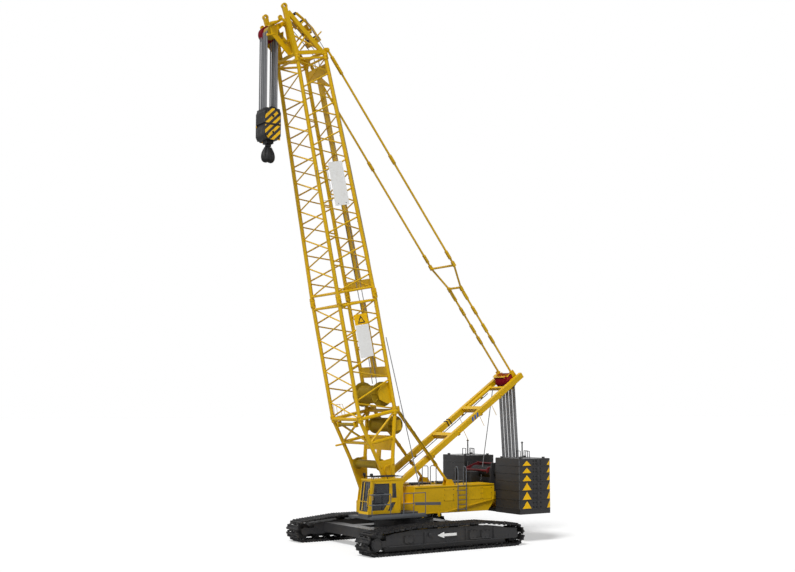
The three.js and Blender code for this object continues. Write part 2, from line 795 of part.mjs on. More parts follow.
// The two lattice stretches above the tapered foot, from one chord end to the other.
// Their zigzags start on opposite sides, which hand 1 or -1 says.
const BASE = {
  s0: KNUCKLE_S,
  s1: SECTION_S - GAP / 2,
  laceFrom: KNUCKLE_S + 60,
  laceTo: SECTION_S - JOINT_FRAME,
  bars: 7,
  hand: -1,
};
const TOP = {
  s0: SECTION_S + GAP / 2,
  s1: HEAD_S,
  laceFrom: SECTION_S + JOINT_FRAME,
  laceTo: HEAD_S - 150,
  bars: 16,
  hand: 1,
};

const slice = (solid, s0, s1) => solid.intersect(box(-3000, 3000, -3000, 3000, s0, s1));

const chord = (s0, s1, corner, radius = CHORD_RADIUS) =>
  rod(onChord(s0, ...corner), onChord(s1, ...corner), radius, CHORD_SIDES);

const bar = (s, a, b, radius, inset = 0) =>
  rod(onChord(s, ...a, inset), onChord(s, ...b, inset), radius, 6);

// A rectangle of bars joining the four chords at one level.
const ringFrame = (s, radius) =>
  CORNERS.map((corner, i) => bar(s, corner, CORNERS[(i + 1) % CORNERS.length], radius));

// Zigzag bars from chord a to chord b and back, leaving out the first few.
function zigzag({ laceFrom, laceTo, bars }, a, b, inset, offset, skip = 0) {
  const rise = (laceTo - laceFrom) / bars;
  const solids = [];
  for (let i = skip; i < bars; i++) {
    const [from, to] = i % 2 ? [b, a] : [a, b];
    const low = onChord(laceFrom + i * rise + offset, ...from, inset);
    const high = onChord(laceFrom + (i + 1) * rise - offset, ...to, inset);
    solids.push(rod(low, high, LACING_RADIUS, LACING_SIDES));
  }
  return solids;
}

const sideLacing = (section, left) =>
  zigzag(section, [section.hand * left, left], [-section.hand * left, left], 0, NODE_OFFSET);
const faceLacing = (section, front, skip) =>
  zigzag(section, [front, -section.hand * front], [front, section.hand * front], NODE_INSET, 0, skip);

// A thick lug box on a chord, where two sections are pinned together.
function chordLug(s0, s1, corner) {
  const mid = onChord((s0 + s1) / 2, ...corner);
  return box(mid.x - 75, mid.x + 75, mid.y - 130, mid.y + 130, s0, s1);
}

// One side of a lattice stretch: two chords, their lacing and any bars across.
function sideTruss(section, left, levels) {
  const pair = [
    [1, left],
    [-1, left],
  ];
  return join(
    pair.map((corner) => chord(section.s0, section.s1, corner)),
    sideLacing(section, left),
    levels.map((s) => bar(s, ...pair, FRAME_BAR_RADIUS)),
  );
}

// The front or rear lattice between the side trusses, stopping just short of the chords.
function facePanel(section, front, levels, skip, extras = []) {
  const clear = CHORD_RADIUS + GAP / Math.cos(Math.PI / CHORD_SIDES);
  const along = [-1, 1].map((left) => chord(section.s0, section.s1, [front, left], clear));
  return join(
    faceLacing(section, front, skip),
    levels.map((s) => bar(s, [front, -1], [front, 1], FRAME_BAR_RADIUS, NODE_INSET)),
    extras,
  ).subtract(join(along));
}

// A plate across the rear face, and a walkway up its middle.
function rearPlate(s0, s1) {
  const half = halfWidthAt(s0) - 60;
  return beam(onChord(s0, -1, 0), onChord(s1, -1, 0), 2 * half, CROSS_PLATE);
}
function walkway(s0, s1) {
  const end = (s) => vec(-halfDepthAt(s) - 45, 0, s);
  return beam(end(s0), end(s1), 2 * WALKWAY_HALF_WIDTH, 50);
}

function boomFoot() {
  // Side plates from the foot pin to the first cross frame.
  const depth = halfDepthAt(1470) + 60;
  const cheek = new THREE.Shape();
  cheek.absarc(0, 0, 230, Math.PI, 2 * Math.PI, false);
  cheek.lineTo(depth, 1250);
  cheek.lineTo(depth + 60, 1600);
  cheek.lineTo(-depth - 60, 1600);
  cheek.lineTo(-depth, 1250);
  const pinHole = bore(0, 0, BOOM_HALF_WIDTH - 100, BOOM_HALF_WIDTH + 100, FOOT_PIN_RADIUS);
  const sidePlate = plate(cheek, BOOM_HALF_WIDTH - 60, BOOM_HALF_WIDTH + 60, 6).subtract(pinHole);
  const legs = CORNERS.map((corner) =>
    join(chord(1300, KNUCKLE_S, corner), chord(KNUCKLE_S, SEAM_S + 100, corner)),
  );
  const frames = [ringFrame(2600, 80), ringFrame(KNUCKLE_S, 90)];
  const braces = [1, -1].flatMap((left) => [
    rod(onChord(2600, 1, left), onChord(KNUCKLE_S, 1, -left), 55, 6),
    rod(onChord(2600, 1, left), onChord(KNUCKLE_S, -1, left), 55, 6),
  ]);
  const lacing = [sideLacing(BASE, 1), sideLacing(BASE, -1), faceLacing(BASE, 1, 0)].flat();
  const ears = [BACKSTOP_Y - 150, BACKSTOP_Y + 110].map((y) =>
    box(BACKSTOP_N - 110, -BOOM_HALF_DEPTH, y, y + 40, BACKSTOP_S - 130, BACKSTOP_S + 130),
  );
  const pin = wheel(BACKSTOP_N, BACKSTOP_S, BACKSTOP_Y - 150, BACKSTOP_Y + 150, 50, PIN_SIDES);
  const carriers = box(-1330, -820, 1190, 1240, 2850, 3370);
  const post = beam(onChord(1300, -1, 0), onChord(2000, -1, 0), 400, CROSS_PLATE);
  const whole = join(
    bothSides(sidePlate),
    legs,
    frames.flat(),
    braces,
    lacing,
    rearPlate(1950, 2560),
    post,
    bothSides(join(...ears, pin, carriers)),
  );
  return slice(whole, -1000, SEAM_S);
}

// The side trusses of the lower section also hold the upper hoist winch.
function baseSide(left) {
  const carrier = plate(
    outline([-1120, 4300], [-760, 4300], [-330, 4600], [-330, 5000], [-700, 5350], [-1120, 5350]),
    1190,
    1240,
  );
  const lugs = [1, -1].map((front) => chordLug(SECTION_S - 250, BASE.s1, [front, left]));
  const whole = join(
    sideTruss({ ...BASE, s1: SECTION_S - 120 }, left, [SECTION_S - JOINT_FRAME]),
    lugs,
    left > 0 ? carrier : mirrorY(carrier),
  );
  return slice(whole, SEAM_S + GAP, SECTION_S);
}

const baseFront = () =>
  slice(facePanel(BASE, 1, [SECTION_S - JOINT_FRAME], 0), SEAM_S + GAP, SECTION_S);
const baseRear = () =>
  facePanel(BASE, -1, [SECTION_S - JOINT_FRAME], 3, [
    rearPlate(5600, 6150),
    walkway(6050, SECTION_S - JOINT_FRAME),
  ]);

function topSide(left) {
  const lugs = [1, -1].map((front) => chordLug(TOP.s0, SECTION_S + 250, [front, left]));
  const section = { ...TOP, s0: SECTION_S + 120, s1: HEAD_S + 100 };
  const truss = sideTruss(section, left, [SECTION_S + JOINT_FRAME, HEAD_S - 120]);
  return slice(join(truss, lugs), SECTION_S, HEAD_S);
}

const topFront = () => facePanel(TOP, 1, [SECTION_S + JOINT_FRAME, HEAD_S - 120], 0);
const topRear = () =>
  facePanel(TOP, -1, [SECTION_S + JOINT_FRAME, HEAD_S - 120], 0, [
    rearPlate(10160, 10660),
    rearPlate(21150, 21700),
    walkway(10600, 21200),
  ]);

// A round bar across the head, from one side to the other.
const headBar = (n, s, radius, sides = 8, inset = 0) =>
  rod(vec(n, inset - HEAD_HALF_WIDTH, s), vec(n, HEAD_HALF_WIDTH - inset, s), radius, sides);

// One side of the head: a front leg up to the ear and a rear leg that props it.
function headSide() {
  const foot = (n) => vec(n, HEAD_HALF_WIDTH, HEAD_S - CHORD_RADIUS / 2);
  const frontLeg = beam(foot(HEAD_HALF_DEPTH), vec(EAR_N, HEAD_HALF_WIDTH, EAR_S), 160, 240);
  const rearLeg = beam(foot(-HEAD_HALF_DEPTH), vec(EAR_N - 140, HEAD_HALF_WIDTH, EAR_S - 290), 140, 220);
  const sill = beam(
    vec(-HEAD_HALF_DEPTH, HEAD_HALF_WIDTH, HEAD_FRAME_S),
    vec(HEAD_HALF_DEPTH, HEAD_HALF_WIDTH, HEAD_FRAME_S),
    140,
    180,
  );
  const eye = wheel(EAR_N, EAR_S, HEAD_HALF_WIDTH - 80, HEAD_HALF_WIDTH + 80, EAR_RADIUS, 16);
  const hole = bore(EAR_N, EAR_S, HEAD_HALF_WIDTH - 200, HEAD_HALF_WIDTH + 200, EAR_BORE);
  return join(frontLeg, rearLeg, sill, eye).subtract(hole);
}

// A plate with a window that carries the sheave axle in front of the head.
function sheavePlate() {
  const tip = SHEAVE_N + 190;
  const edge = outline(
    [760, 22400],
    [1000, 22300],
    [tip, SHEAVE_S - 160],
    [tip, SHEAVE_S + 200],
    [1000, 24000],
    [760, 23800],
  );
  const window = outline(
    [920, 22780],
    [1010, 22740],
    [1400, 23330],
    [1340, 23560],
    [1000, 23790],
    [920, 23700],
  );
  return plate(edge, 500, 560).subtract(plate(window, 490, 570));
}

function pendantAnchor() {
  const { x, z } = PENDANT_LOCAL;
  const lug = box(x - 90, -HEAD_HALF_DEPTH, 955, 1005, z - 120, z + 120);
  return join(lug, wheel(x, z, 955, 1100, 45, PIN_SIDES));
}

function boomHead() {
  const bars = [
    headBar(960, 23900, 110, 10),
    headBar(900, 23000, 90),
    headBar(HEAD_HALF_DEPTH, HEAD_FRAME_S, 100),
    headBar(-HEAD_HALF_DEPTH, HEAD_FRAME_S, 100, 8, 60),
  ];
  const axle = wheel(SHEAVE_N, SHEAVE_S, -530, 530, 60, PIN_SIDES);
  const below = box(-2000, 2000, -2000, 2000, HEAD_S - 1000, HEAD_S + GAP);
  const sides = bothSides(join(headSide(), sheavePlate(), pendantAnchor()));
  return join(bars, axle, sides).subtract(below);
}

function headSheaves() {
  const profile = [[0, -480]];
  const count = 6;
  const pitch = 960 / count;
  for (let i = 0; i < count; i++) {
    const y = -480 + i * pitch;
    profile.push([SHEAVE_RADIUS, y], [GROOVE_RADIUS, y + pitch * 0.3], [GROOVE_RADIUS, y + pitch * 0.7]);
  }
  profile.push([SHEAVE_RADIUS, 480], [0, 480]);
  // Turned so that a corner of the groove faces each rope fall.
  return turned(0, 0, profile, 16)
    .rotate([0, -(90 - BOOM_ANGLE), 0])
    .translate([SHEAVE_N, 0, SHEAVE_S])
    .subtract(bore(SHEAVE_N, SHEAVE_S, -600, 600, 60));
}

// Hoist winches carried in the lower boom section; reach is where their hubs end.
const WINCHES = {
  upper: { n: -720, s: 4790, half: 920, reach: 1190, core: 420, flange: 640 },
  middle: { n: -1170, s: 3110, half: 920, reach: 1190, core: 320, flange: 470 },
  lower: { n: 180, s: 1380, half: 1100, reach: BOOM_HALF_WIDTH - 60, core: 200, flange: 300 },
};

function hoistWinch({ n, s, half, reach, core, flange }) {
  const end = reach - GAP;
  return turned(n, s, [
    [0, -end],
    [110, -end],
    [110, -half],
    [flange, -half],
    [flange, -half + 45],
    [core, -half + 45],
    [core, half - 45],
    [flange, half - 45],
    [flange, half],
    [110, half],
    [110, end],
    [0, end],
  ], 20);
}

// ---------------------------------------------------------------------- mast
// Mast pieces are drawn in mast coordinates: the tip is towards -x.

const MAST_LENGTH = MAST_FOOT.distanceTo(MAST_TIP);
const MAST_SHEAVE_X = -9330;
const MAST_SHEAVE_Z = 40;

function mastFrame() {
  const leg = join(
    beam(vec(-60, MAST_LEG_Y, 0), vec(-900, MAST_LEG_Y, 0), MAST_LEG_WIDTH, 260),
    beam(vec(-700, MAST_LEG_Y, 0), vec(-MAST_LENGTH, MAST_LEG_Y, 0), MAST_LEG_WIDTH, MAST_LEG_DEPTH),
    wheel(0, 0, MAST_LEG_Y - MAST_LEG_WIDTH / 2, MAST_LEG_Y + MAST_LEG_WIDTH / 2, 150, 20),
  ).subtract(bore(0, 0, MAST_LEG_Y - 300, MAST_LEG_Y + 300, MAST_PIN_RADIUS));
  const across = (x, z, depth, width) =>
    beam(vec(x - depth / 2, 0, z), vec(x + depth / 2, 0, z), 2 * MAST_LEG_Y - MAST_LEG_WIDTH + 40, width);
  const cross = [across(-4200, 0, 260, 240), across(-6600, 0, 260, 240), across(-8650, -40, 160, 160)];
  const axle = wheel(MAST_SHEAVE_X, MAST_SHEAVE_Z, -MAST_LEG_Y, MAST_LEG_Y, 90, PIN_SIDES);
  const tube = rod(vec(-6550, -560, 40), vec(-8700, -560, 40), 90, 10);
  const cover = beam(vec(-9560, 0, 330), vec(-9080, 0, 390), 880, 30);
  const coverEnds = bothSides(plate(
      outline([-9720, -20], [-9620, -20], [-9620, 310], [-9080, 310], [-9080, 395], [-9720, 325]),
      410,
      440,
    ),
  );
  const tipBar = box(-9720, -9620, -760, 760, -60, 60);
  const lugs = bothSides(
    plate(outline([-9750, -40], [-9620, -40], [-9450, 60], [-9500, 480], [-9700, 480]), 620, 670),
  );
  return join(bothSides(leg), cross, axle, tube, cover, coverEnds, tipBar, lugs);
}

function mastSheaves() {
  return turned(MAST_SHEAVE_X, MAST_SHEAVE_Z, [
    [0, -600],
    [250, -600],
    [250, -120],
    [180, -80],
    [180, 80],
    [250, 120],
    [250, 600],
    [0, 600],
  ], 20).subtract(bore(MAST_SHEAVE_X, MAST_SHEAVE_Z, -700, 700, 90));
}

// ------------------------------------------------------------------ pendants

const BAR_WIDTH = 60;
const BAR_DEPTH = 95;

// A pendant bar with thicker link plates at the given fractions of its length.
function pendantBar(a, b, links) {
  const along = b.clone().sub(a);
  const at = (t) => a.clone().addScaledVector(along, t);
  const half = 260 / along.length();
  const plates = links.map((t) => beam(at(t - half), at(t + half), BAR_WIDTH + 50, BAR_DEPTH + 50));
  return join(beam(a, b, BAR_WIDTH, BAR_DEPTH), plates);
}

const towards = (a, b, step) => a.clone().addScaledVector(b.clone().sub(a).normalize(), step);

function upperPendant() {
  const a = PENDANT_TOP;
  const b = vec(SPREADER_TOP.x, PENDANT_TOP.y, SPREADER_TOP.z);
  const eye = wheel(a.x, a.z, a.y - BAR_WIDTH / 2, a.y + BAR_WIDTH / 2, 105, 20);
  return join(pendantBar(towards(a, b, 60), towards(b, a, GAP), [0.05, 0.5]), eye)
    .subtract(bore(a.x, a.z, a.y - 100, a.y + 100, 45));
}

// Two cheeks over the end of a pendant bar, closed behind it.
function fork(pin, along) {
  const at = (d) => pin.clone().addScaledVector(along, d);
  const offset = BAR_WIDTH / 2 + GAP + 20;
  const cheeks = [offset, -offset].map((dy) =>
    beam(at(-90).setY(pin.y + dy), at(200).setY(pin.y + dy), 40, 150),
  );
  return join(beam(at(60), at(200), 2 * offset, 150), cheeks);
}

function spreader() {
  const top = vec(SPREADER_TOP.x, PENDANT_TOP.y, SPREADER_TOP.z);
  const low = SPREADER_LOW;
  const along = low.clone().sub(top).setY(0).normalize();
  const cross = (p, d) => {
    const q = p.clone().addScaledVector(along, d);
    return rod(vec(q.x, -p.y, q.z), vec(q.x, p.y, q.z), 60, 10);
  };
  const link = rod(
    top.clone().addScaledVector(along, 120),
    low.clone().addScaledVector(along, -120),
    55,
    8,
  );
  const side = join(fork(top, along), fork(low, along.clone().negate()), link);
  return join(cross(top, 130), cross(low, -130), bothSides(side));
}

function lowerPendant() {
  const a = towards(SPREADER_LOW, PENDANT_END, GAP);
  const end = wheel(PENDANT_END.x, PENDANT_END.z, PENDANT_END.y - 40, PENDANT_END.y + 40, 90, 16);
  return join(pendantBar(a, PENDANT_END, [0.07, 0.46]), end);
}

// ----------------------------------------------------------------- backstops

const BACKSTOP_TOP = fromBoom(vec(BACKSTOP_N, BACKSTOP_Y, BACKSTOP_S));

function backstop() {
  const top = BACKSTOP_TOP;
  const foot = BACKSTOP_FOOT;
  const mid = top.clone().lerp(foot, 0.62);
  return join(
    wheel(top.x, top.z, top.y - 95, top.y + 95, 100, 20),
    rod(towards(top, foot, 70), mid, 90, 12),
    rod(towards(mid, top, 20), foot, 70, 10),
    wheel(foot.x, foot.z, foot.y - 90, foot.y + 90, 105, 20),
  ).subtract(bore(top.x, top.z, top.y - 100, top.y + 100, 50));
}

// ---------------------------------------------------------------- hook block

const SHEAVE_CENTRE = fromBoom(vec(SHEAVE_N, 0, SHEAVE_S));

function hoistRopes() {
  const falls = [];
  for (let i = 0; i < 6; i++) {
    const y = (i - 2.5) * FALL_PITCH;
    for (const side of i < 5 ? [1, -1] : [1]) {
      const x = SHEAVE_CENTRE.x + side * ROPE_REACH;
      falls.push(rod(vec(x, y, BLOCK_TOP_Z + 5), vec(x, y, SHEAVE_CENTRE.z), ROPE_RADIUS, 8));
    }
  }
  const { x } = SHEAVE_CENTRE;
  const guard = box(x - 340, x + 340, -450, 450, BLOCK_TOP_Z + GAP, BLOCK_TOP_Z + 20);
  return join(guard, falls);
}

function hookBlock() {
  const x = SHEAVE_CENTRE.x;
  const cheek = outline(
    [x - BLOCK_HALF_X + 90, BLOCK_BOTTOM_Z + 60],
    [x + BLOCK_HALF_X - 90, BLOCK_BOTTOM_Z + 60],
    [x + BLOCK_HALF_X, BLOCK_BOTTOM_Z + 250],
    [x + BLOCK_HALF_X, BLOCK_TOP_Z - 200],
    [x + BLOCK_HALF_X - 90, BLOCK_TOP_Z],
    [x - BLOCK_HALF_X + 90, BLOCK_TOP_Z],
    [x - BLOCK_HALF_X, BLOCK_TOP_Z - 200],
    [x - BLOCK_HALF_X, BLOCK_BOTTOM_Z + 250],
  );
  const notch = bothSides(box(x + BLOCK_HALF_X - 70, x + BLOCK_HALF_X + 50, -700, 700, 20720, 20860));
  const body = plate(cheek, -BLOCK_HALF_Y, BLOCK_HALF_Y);
  const trunnion = box(x - 180, x + 180, -230, 230, BLOCK_BOTTOM_Z - 120, BLOCK_BOTTOM_Z + 80);
  return join(body, trunnion).subtract(notch);
}

function hook() {
  const x = SHEAVE_CENTRE.x;
  const top = BLOCK_BOTTOM_Z - 120 - GAP;
  const horn = (side) => {
    const curve = new THREE.CatmullRomCurve3([
      vec(0, 0, top - 250),
      vec(side * 30, 0, top - 480),
      vec(side * 140, 0, HOOK_BOTTOM_Z + 90),
      vec(side * 255, 0, HOOK_BOTTOM_Z + 190),
      vec(side * 270, 0, HOOK_BOTTOM_Z + 380),
    ]);
    const round = new THREE.Shape();
    round.absarc(0, 0, 85, 0, 2 * Math.PI, false);
    const geometry = new THREE.ExtrudeGeometry(round, {
      steps: 8,
      extrudePath: curve,
      curveSegments: 4,
      bevelEnabled: false,
    });
    return solidFrom(geometry).translate([x, 0, 0]);
  };
  return join(rod(vec(x, 0, top - 420), vec(x, 0, top), 90, 16), horn(1), horn(-1));
}

// --------------------------------------------------------------------- build

const crane = new THREE.Group();
crane.name = "crane";

function add(parent, name, solid, material) {
  const mesh = new THREE.Mesh(geometryFrom(solid), material());
  mesh.name = name;
  parent.add(mesh);
  return mesh;
}

function addPair(parent, name, solid, material) {
  add(parent, `${name}_l`, solid, material);
  add(parent, `${name}_r`, mirrorY(solid), material);
}

add(crane, "carbody", carbody(), CHARCOAL);
add(crane, "slewing_ring", slewingRing(), BLACK);
addPair(crane, "crawler_frame", crawlerFrame(), CHARCOAL);
addPair(crane, "track", track(), BLACK);
addPair(crane, "idler", idler(), CHARCOAL);
addPair(crane, "sprocket", sprocket(), CHARCOAL);
addPair(crane, "roller_set", rollerSet(), BLACK);
addPair(crane, "travel_drive", travelDrive(), CHARCOAL);

add(crane, "superstructure_frame", superstructureFrame(), YELLOW);
addPair(crane, "machinery_house", machineryHouse(), YELLOW);
add(crane, "engine_block", engineBlock(), BLACK);
add(crane, "counterweight_tray", counterweightTray(), CHARCOAL);
addPair(crane, "counterweight_stack", counterweightStack(), CHARCOAL);
add(crane, "luffing_winch_frame", luffingWinchFrame(), CHARCOAL);
add(crane, "luffing_winch", winchDrum(-5250, 3500, 1010 - GAP, 260, 440), CHARCOAL);
add(crane, "cab_platform", cabPlatform(), STEEL);
add(crane, "cab_shell", cabShell(), YELLOW);
add(crane, "cab_side_frame", cabSideFrame(), YELLOW);
add(crane, "cab_roof", cabRoof(), YELLOW);
add(crane, "cab_door", cabDoor(), YELLOW);
add(crane, "door_glass", doorGlass(), GLASS);
add(crane, "windscreen_glass", windscreenGlass(), GLASS);
add(crane, "quarter_glass", quarterGlass(), GLASS);
add(crane, "far_side_glass", farGlass(), GLASS);
add(crane, "rear_glass", rearGlass(), GLASS);
add(crane, "operator_seat", operatorSeat(), CLOTH);

const boom = new THREE.Group();
boom.name = "boom";
boom.position.copy(BOOM_FOOT);
boom.rotation.y = boomTilt;
crane.add(boom);
add(boom, "boom_foot", boomFoot(), YELLOW);
for (const [side, left] of [["l", 1], ["r", -1]]) {
  add(boom, `boom_base_side_${side}`, baseSide(left), YELLOW);
  add(boom, `boom_top_side_${side}`, topSide(left), YELLOW);
}
add(boom, "boom_base_front", baseFront(), YELLOW);
add(boom, "boom_base_rear", baseRear(), YELLOW);
add(boom, "boom_top_front", topFront(), YELLOW);
add(boom, "boom_top_rear", topRear(), YELLOW);
add(boom, "boom_head", boomHead(), YELLOW);
add(boom, "head_sheaves", headSheaves(), RED);
add(boom, "hoist_winch_upper", hoistWinch(WINCHES.upper), YELLOW);
add(boom, "hoist_winch_middle", hoistWinch(WINCHES.middle), YELLOW);
add(boom, "hoist_winch_lower", hoistWinch(WINCHES.lower), YELLOW);

const mast = new THREE.Group();
mast.name = "mast";
mast.position.copy(MAST_FOOT);
mast.rotation.y = Math.atan2(MAST_TIP.z - MAST_FOOT.z, MAST_FOOT.x - MAST_TIP.x);
crane.add(mast);
add(mast, "mast_frame", mastFrame(), YELLOW);
add(mast, "mast_sheaves", mastSheaves(), RED);

addPair(crane, "pendant_upper", upperPendant(), YELLOW);
add(crane, "pendant_spreader", spreader(), YELLOW);
addPair(crane, "pendant_lower", lowerPendant(), YELLOW);
addPair(crane, "backstop", backstop(), YELLOW);
add(crane, "hoist_ropes", hoistRopes(), ROPE);
add(crane, "hook_block", hookBlock(), BLACK);
add(crane, "hook", hook(), BLACK);

// Where things are, for whoever needs the pivots.
crane.updateMatrixWorld(true);
const extent = new THREE.Box3().setFromObject(crane, true);
const group = new THREE.Group();
group.name = "crawler_crane";
crane.position.set(-(extent.min.x + extent.max.x) / 2, -(extent.min.y + extent.max.y) / 2, -extent.min.z);
group.add(crane);

export default group;
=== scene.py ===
# %% [markdown]
# # A crawler crane with a lattice boom
# The crane stands on two tracks, turns on a slewing ring and carries a lattice boom. Pendant bars,
# a mast and a bundle of wire ropes hold the boom back. Its moving frame is already built and comes
# in as one fixed model. Here it gets its paint, steel and glass, and the smaller things that a
# frame leaves out: handrails, ladders, ropes, bolts, warning stripes and the shoes of the tracks.

import json
import math

import bmesh
import bpy
from mathutils import Matrix, Vector


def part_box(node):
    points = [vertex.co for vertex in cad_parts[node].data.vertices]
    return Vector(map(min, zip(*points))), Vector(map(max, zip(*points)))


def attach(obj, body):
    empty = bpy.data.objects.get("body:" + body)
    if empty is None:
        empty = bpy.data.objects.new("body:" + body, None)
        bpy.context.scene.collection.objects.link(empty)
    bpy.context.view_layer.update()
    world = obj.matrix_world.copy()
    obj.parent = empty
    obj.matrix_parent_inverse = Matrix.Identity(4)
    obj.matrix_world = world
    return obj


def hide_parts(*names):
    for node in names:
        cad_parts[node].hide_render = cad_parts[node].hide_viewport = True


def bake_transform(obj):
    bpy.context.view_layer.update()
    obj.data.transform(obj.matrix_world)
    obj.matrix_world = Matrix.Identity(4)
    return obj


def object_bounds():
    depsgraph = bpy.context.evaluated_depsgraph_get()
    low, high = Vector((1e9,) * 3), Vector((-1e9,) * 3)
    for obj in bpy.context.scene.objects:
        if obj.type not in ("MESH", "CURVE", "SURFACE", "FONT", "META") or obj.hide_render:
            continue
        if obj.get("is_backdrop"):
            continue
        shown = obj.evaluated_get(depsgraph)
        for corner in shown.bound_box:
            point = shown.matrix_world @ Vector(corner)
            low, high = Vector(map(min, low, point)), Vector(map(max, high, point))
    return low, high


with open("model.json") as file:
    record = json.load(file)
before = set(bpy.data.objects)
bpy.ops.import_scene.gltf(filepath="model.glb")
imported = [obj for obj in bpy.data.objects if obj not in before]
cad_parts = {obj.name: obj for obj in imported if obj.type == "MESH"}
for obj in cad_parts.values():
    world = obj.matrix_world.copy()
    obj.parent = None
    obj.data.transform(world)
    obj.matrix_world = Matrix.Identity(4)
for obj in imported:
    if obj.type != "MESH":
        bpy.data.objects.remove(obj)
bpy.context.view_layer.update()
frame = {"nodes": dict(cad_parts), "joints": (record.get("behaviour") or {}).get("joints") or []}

# %% [markdown]
# ## Where things are
# Every joint of the frame knows its own place. The slewing joint gives the middle of the crane, and
# the foot pins of the boom and the mast give two more starting points. One could type every place
# in the row's own axes, but a rail is easier to think of as so far along the boom, so three small
# functions turn crane, boom and mast measurements into places.

# %% Crane, boom and mast measurements
JOINTS = {joint["name"]: joint for joint in frame["joints"]}
CENTRE = Vector(JOINTS["slew"]["pos_m"])
CENTRE.z = 0
BOOM_PIN = Vector(JOINTS["boom_luff"]["pos_m"])
MAST_PIN = Vector(JOINTS["mast_luff"]["pos_m"])
BOOM_ANGLE = math.radians(78.11)  # above the horizontal, pointing forward
MAST_ANGLE = math.radians(34.89)  # above the horizontal, pointing back


def crane(x, y, z):
    """A place forward of the slewing axis by x, to the cab side by y and above the ground by z."""
    return CENTRE + Vector((x, y, z))


def boom(n, y, s):
    """A place s metres up the boom from its foot pin and n metres in front of its middle."""
    along = Vector((math.cos(BOOM_ANGLE), 0, math.sin(BOOM_ANGLE)))
    front = Vector((math.sin(BOOM_ANGLE), 0, -math.cos(BOOM_ANGLE)))
    return BOOM_PIN + along * s + front * n + Vector((0, y, 0))


def mast(s, y, n):
    """A place s metres up the mast from its foot pin and n metres above its middle."""
    along = Vector((-math.cos(MAST_ANGLE), 0, math.sin(MAST_ANGLE)))
    above = Vector((math.sin(MAST_ANGLE), 0, math.cos(MAST_ANGLE)))
    return MAST_PIN + along * s + above * n + Vector((0, y, 0))


def level(place, y, *pairs, at=(0, 0)):
    """Places that share one y. Each pair holds the other two measures of crane, boom or mast,
    counted from at."""
    return [place(at[0] + first, y, at[1] + second) for first, second in pairs]


SIDES = (1, -1)  # the cab's side, then the far side
UP, FORWARD = (0, 0, 1), (1, 0, 0)
print(
    "boom pin",
    tuple(round(v, 3) for v in BOOM_PIN),
    "mast pin",
    tuple(round(v, 3) for v in MAST_PIN),
)

# %% [markdown]
# ## Paints and metals
# A big crane wears two-pack enamel over blasted plate, and a sprayed coat is never one flat colour:
# it is a little thinner here and dustier there, and the spray gun leaves a faint orange peel. Each
# finish is a Principled shader whose colour is mixed by noise in Object coordinates. Image textures
# would show finer marks, but noise needs no files and never repeats.

# %% Colour and node helpers
def colour(code):
    """An sRGB hex colour as linear red, green, blue and alpha."""
    parts = [int(code[i:i + 2], 16) / 255 for i in (1, 3, 5)]
    linear = [c / 12.92 if c <= 0.04045 else ((c + 0.055) / 1.055) ** 2.4 for c in parts]
    return (*linear, 1)


def feed(tree, node, inputs):
    """Links the sockets that are given to the inputs of a node, and sets any other value."""
    for name, value in inputs.items():
        if isinstance(value, bpy.types.NodeSocket):
            tree.links.new(value, node.inputs[name])
        else:
            node.inputs[name].default_value = value
    return node


def add_node(tree, kind, inputs, **settings):
    made = tree.nodes.new(kind)
    for name, value in settings.items():
        setattr(made, name, value)
    return feed(tree, made, inputs)


def new_finish(name):
    """An empty material with its tree, its Object coordinates and a bare shader."""
    finish = bpy.data.materials.new(name)
    finish.use_nodes = True
    tree = finish.node_tree
    place = tree.nodes.new("ShaderNodeTexCoord").outputs["Object"]
    return finish, tree, place, tree.nodes["Principled BSDF"]


def noise(tree, place, size, detail=3.0, rough=0.5):
    """Noise whose blotches are about size metres across, from 0 to 1."""
    return add_node(
        tree,
        "ShaderNodeTexNoise",
        {"Vector": place, "Scale": 1 / size, "Detail": detail, "Roughness": rough},
    ).outputs["Fac"]


def ramp(tree, value, low, high):
    """The value stretched so that low becomes 0 and high becomes 1."""
    return add_node(
        tree, "ShaderNodeMapRange", {"Value": value, "From Min": low, "From Max": high}
    ).outputs["Result"]


def spread(tree, share, low, high):
    """A share from 0 to 1 turned into a value from low to high."""
    return add_node(
        tree, "ShaderNodeMapRange", {"Value": share, "To Min": low, "To Max": high}
    ).outputs["Result"]


def maths(tree, operation, first, second=0.5):
    made = add_node(tree, "ShaderNodeMath", {0: first, 1: second}, operation=operation)
    return made.outputs[0]


def blend_colours(tree, share, first, second):
    """First colour where share is 0 and second where it is 1. Each is a hex code or a socket."""
    first, second = [colour(c) if isinstance(c, str) else c for c in (first, second)]
    mix = add_node(tree, "ShaderNodeMix", {0: share, 6: first, 7: second}, data_type="RGBA")
    return mix.outputs[2]


def bump(tree, height, depth, strength=1.0):
    """A bump of this depth in metres."""
    return add_node(
        tree, "ShaderNodeBump", {"Height": height, "Distance": depth, "Strength": strength}
    ).outputs["Normal"]


# %% [markdown]
# Enamel paint is a smooth plastic film, so it keeps the usual IOR of 1.5 and shows soft highlights.
# The yellow is warm and deep, almost golden. Where dust settles it goes browner and duller, and the
# large noise does that. Real orange peel is 1 to 2 mm across. That is far too fine to see from
# across a yard, so it is drawn 60 mm across.

# %% Enamel paints
def enamel(name, clean, dusty, gloss=0.38):
    """Sprayed enamel on steel plate, with thin dust and orange peel."""
    finish, tree, place, shader = new_finish(name)
    dust = ramp(tree, noise(tree, place, 1.6, 5, 0.6), 0.42, 0.75)
    speckle = ramp(tree, noise(tree, place, 0.09, 2), 0.35, 0.8)
    looks = {
        "Base Color": blend_colours(tree, maths(tree, "MULTIPLY", dust, speckle), clean, dusty),
        "Specular IOR Level": 0.28,
        "Roughness": spread(tree, dust, gloss, gloss + 0.22),
        "Normal": bump(tree, noise(tree, place, 0.06, 1), 0.0012),
    }
    feed(tree, shader, looks)
    return finish


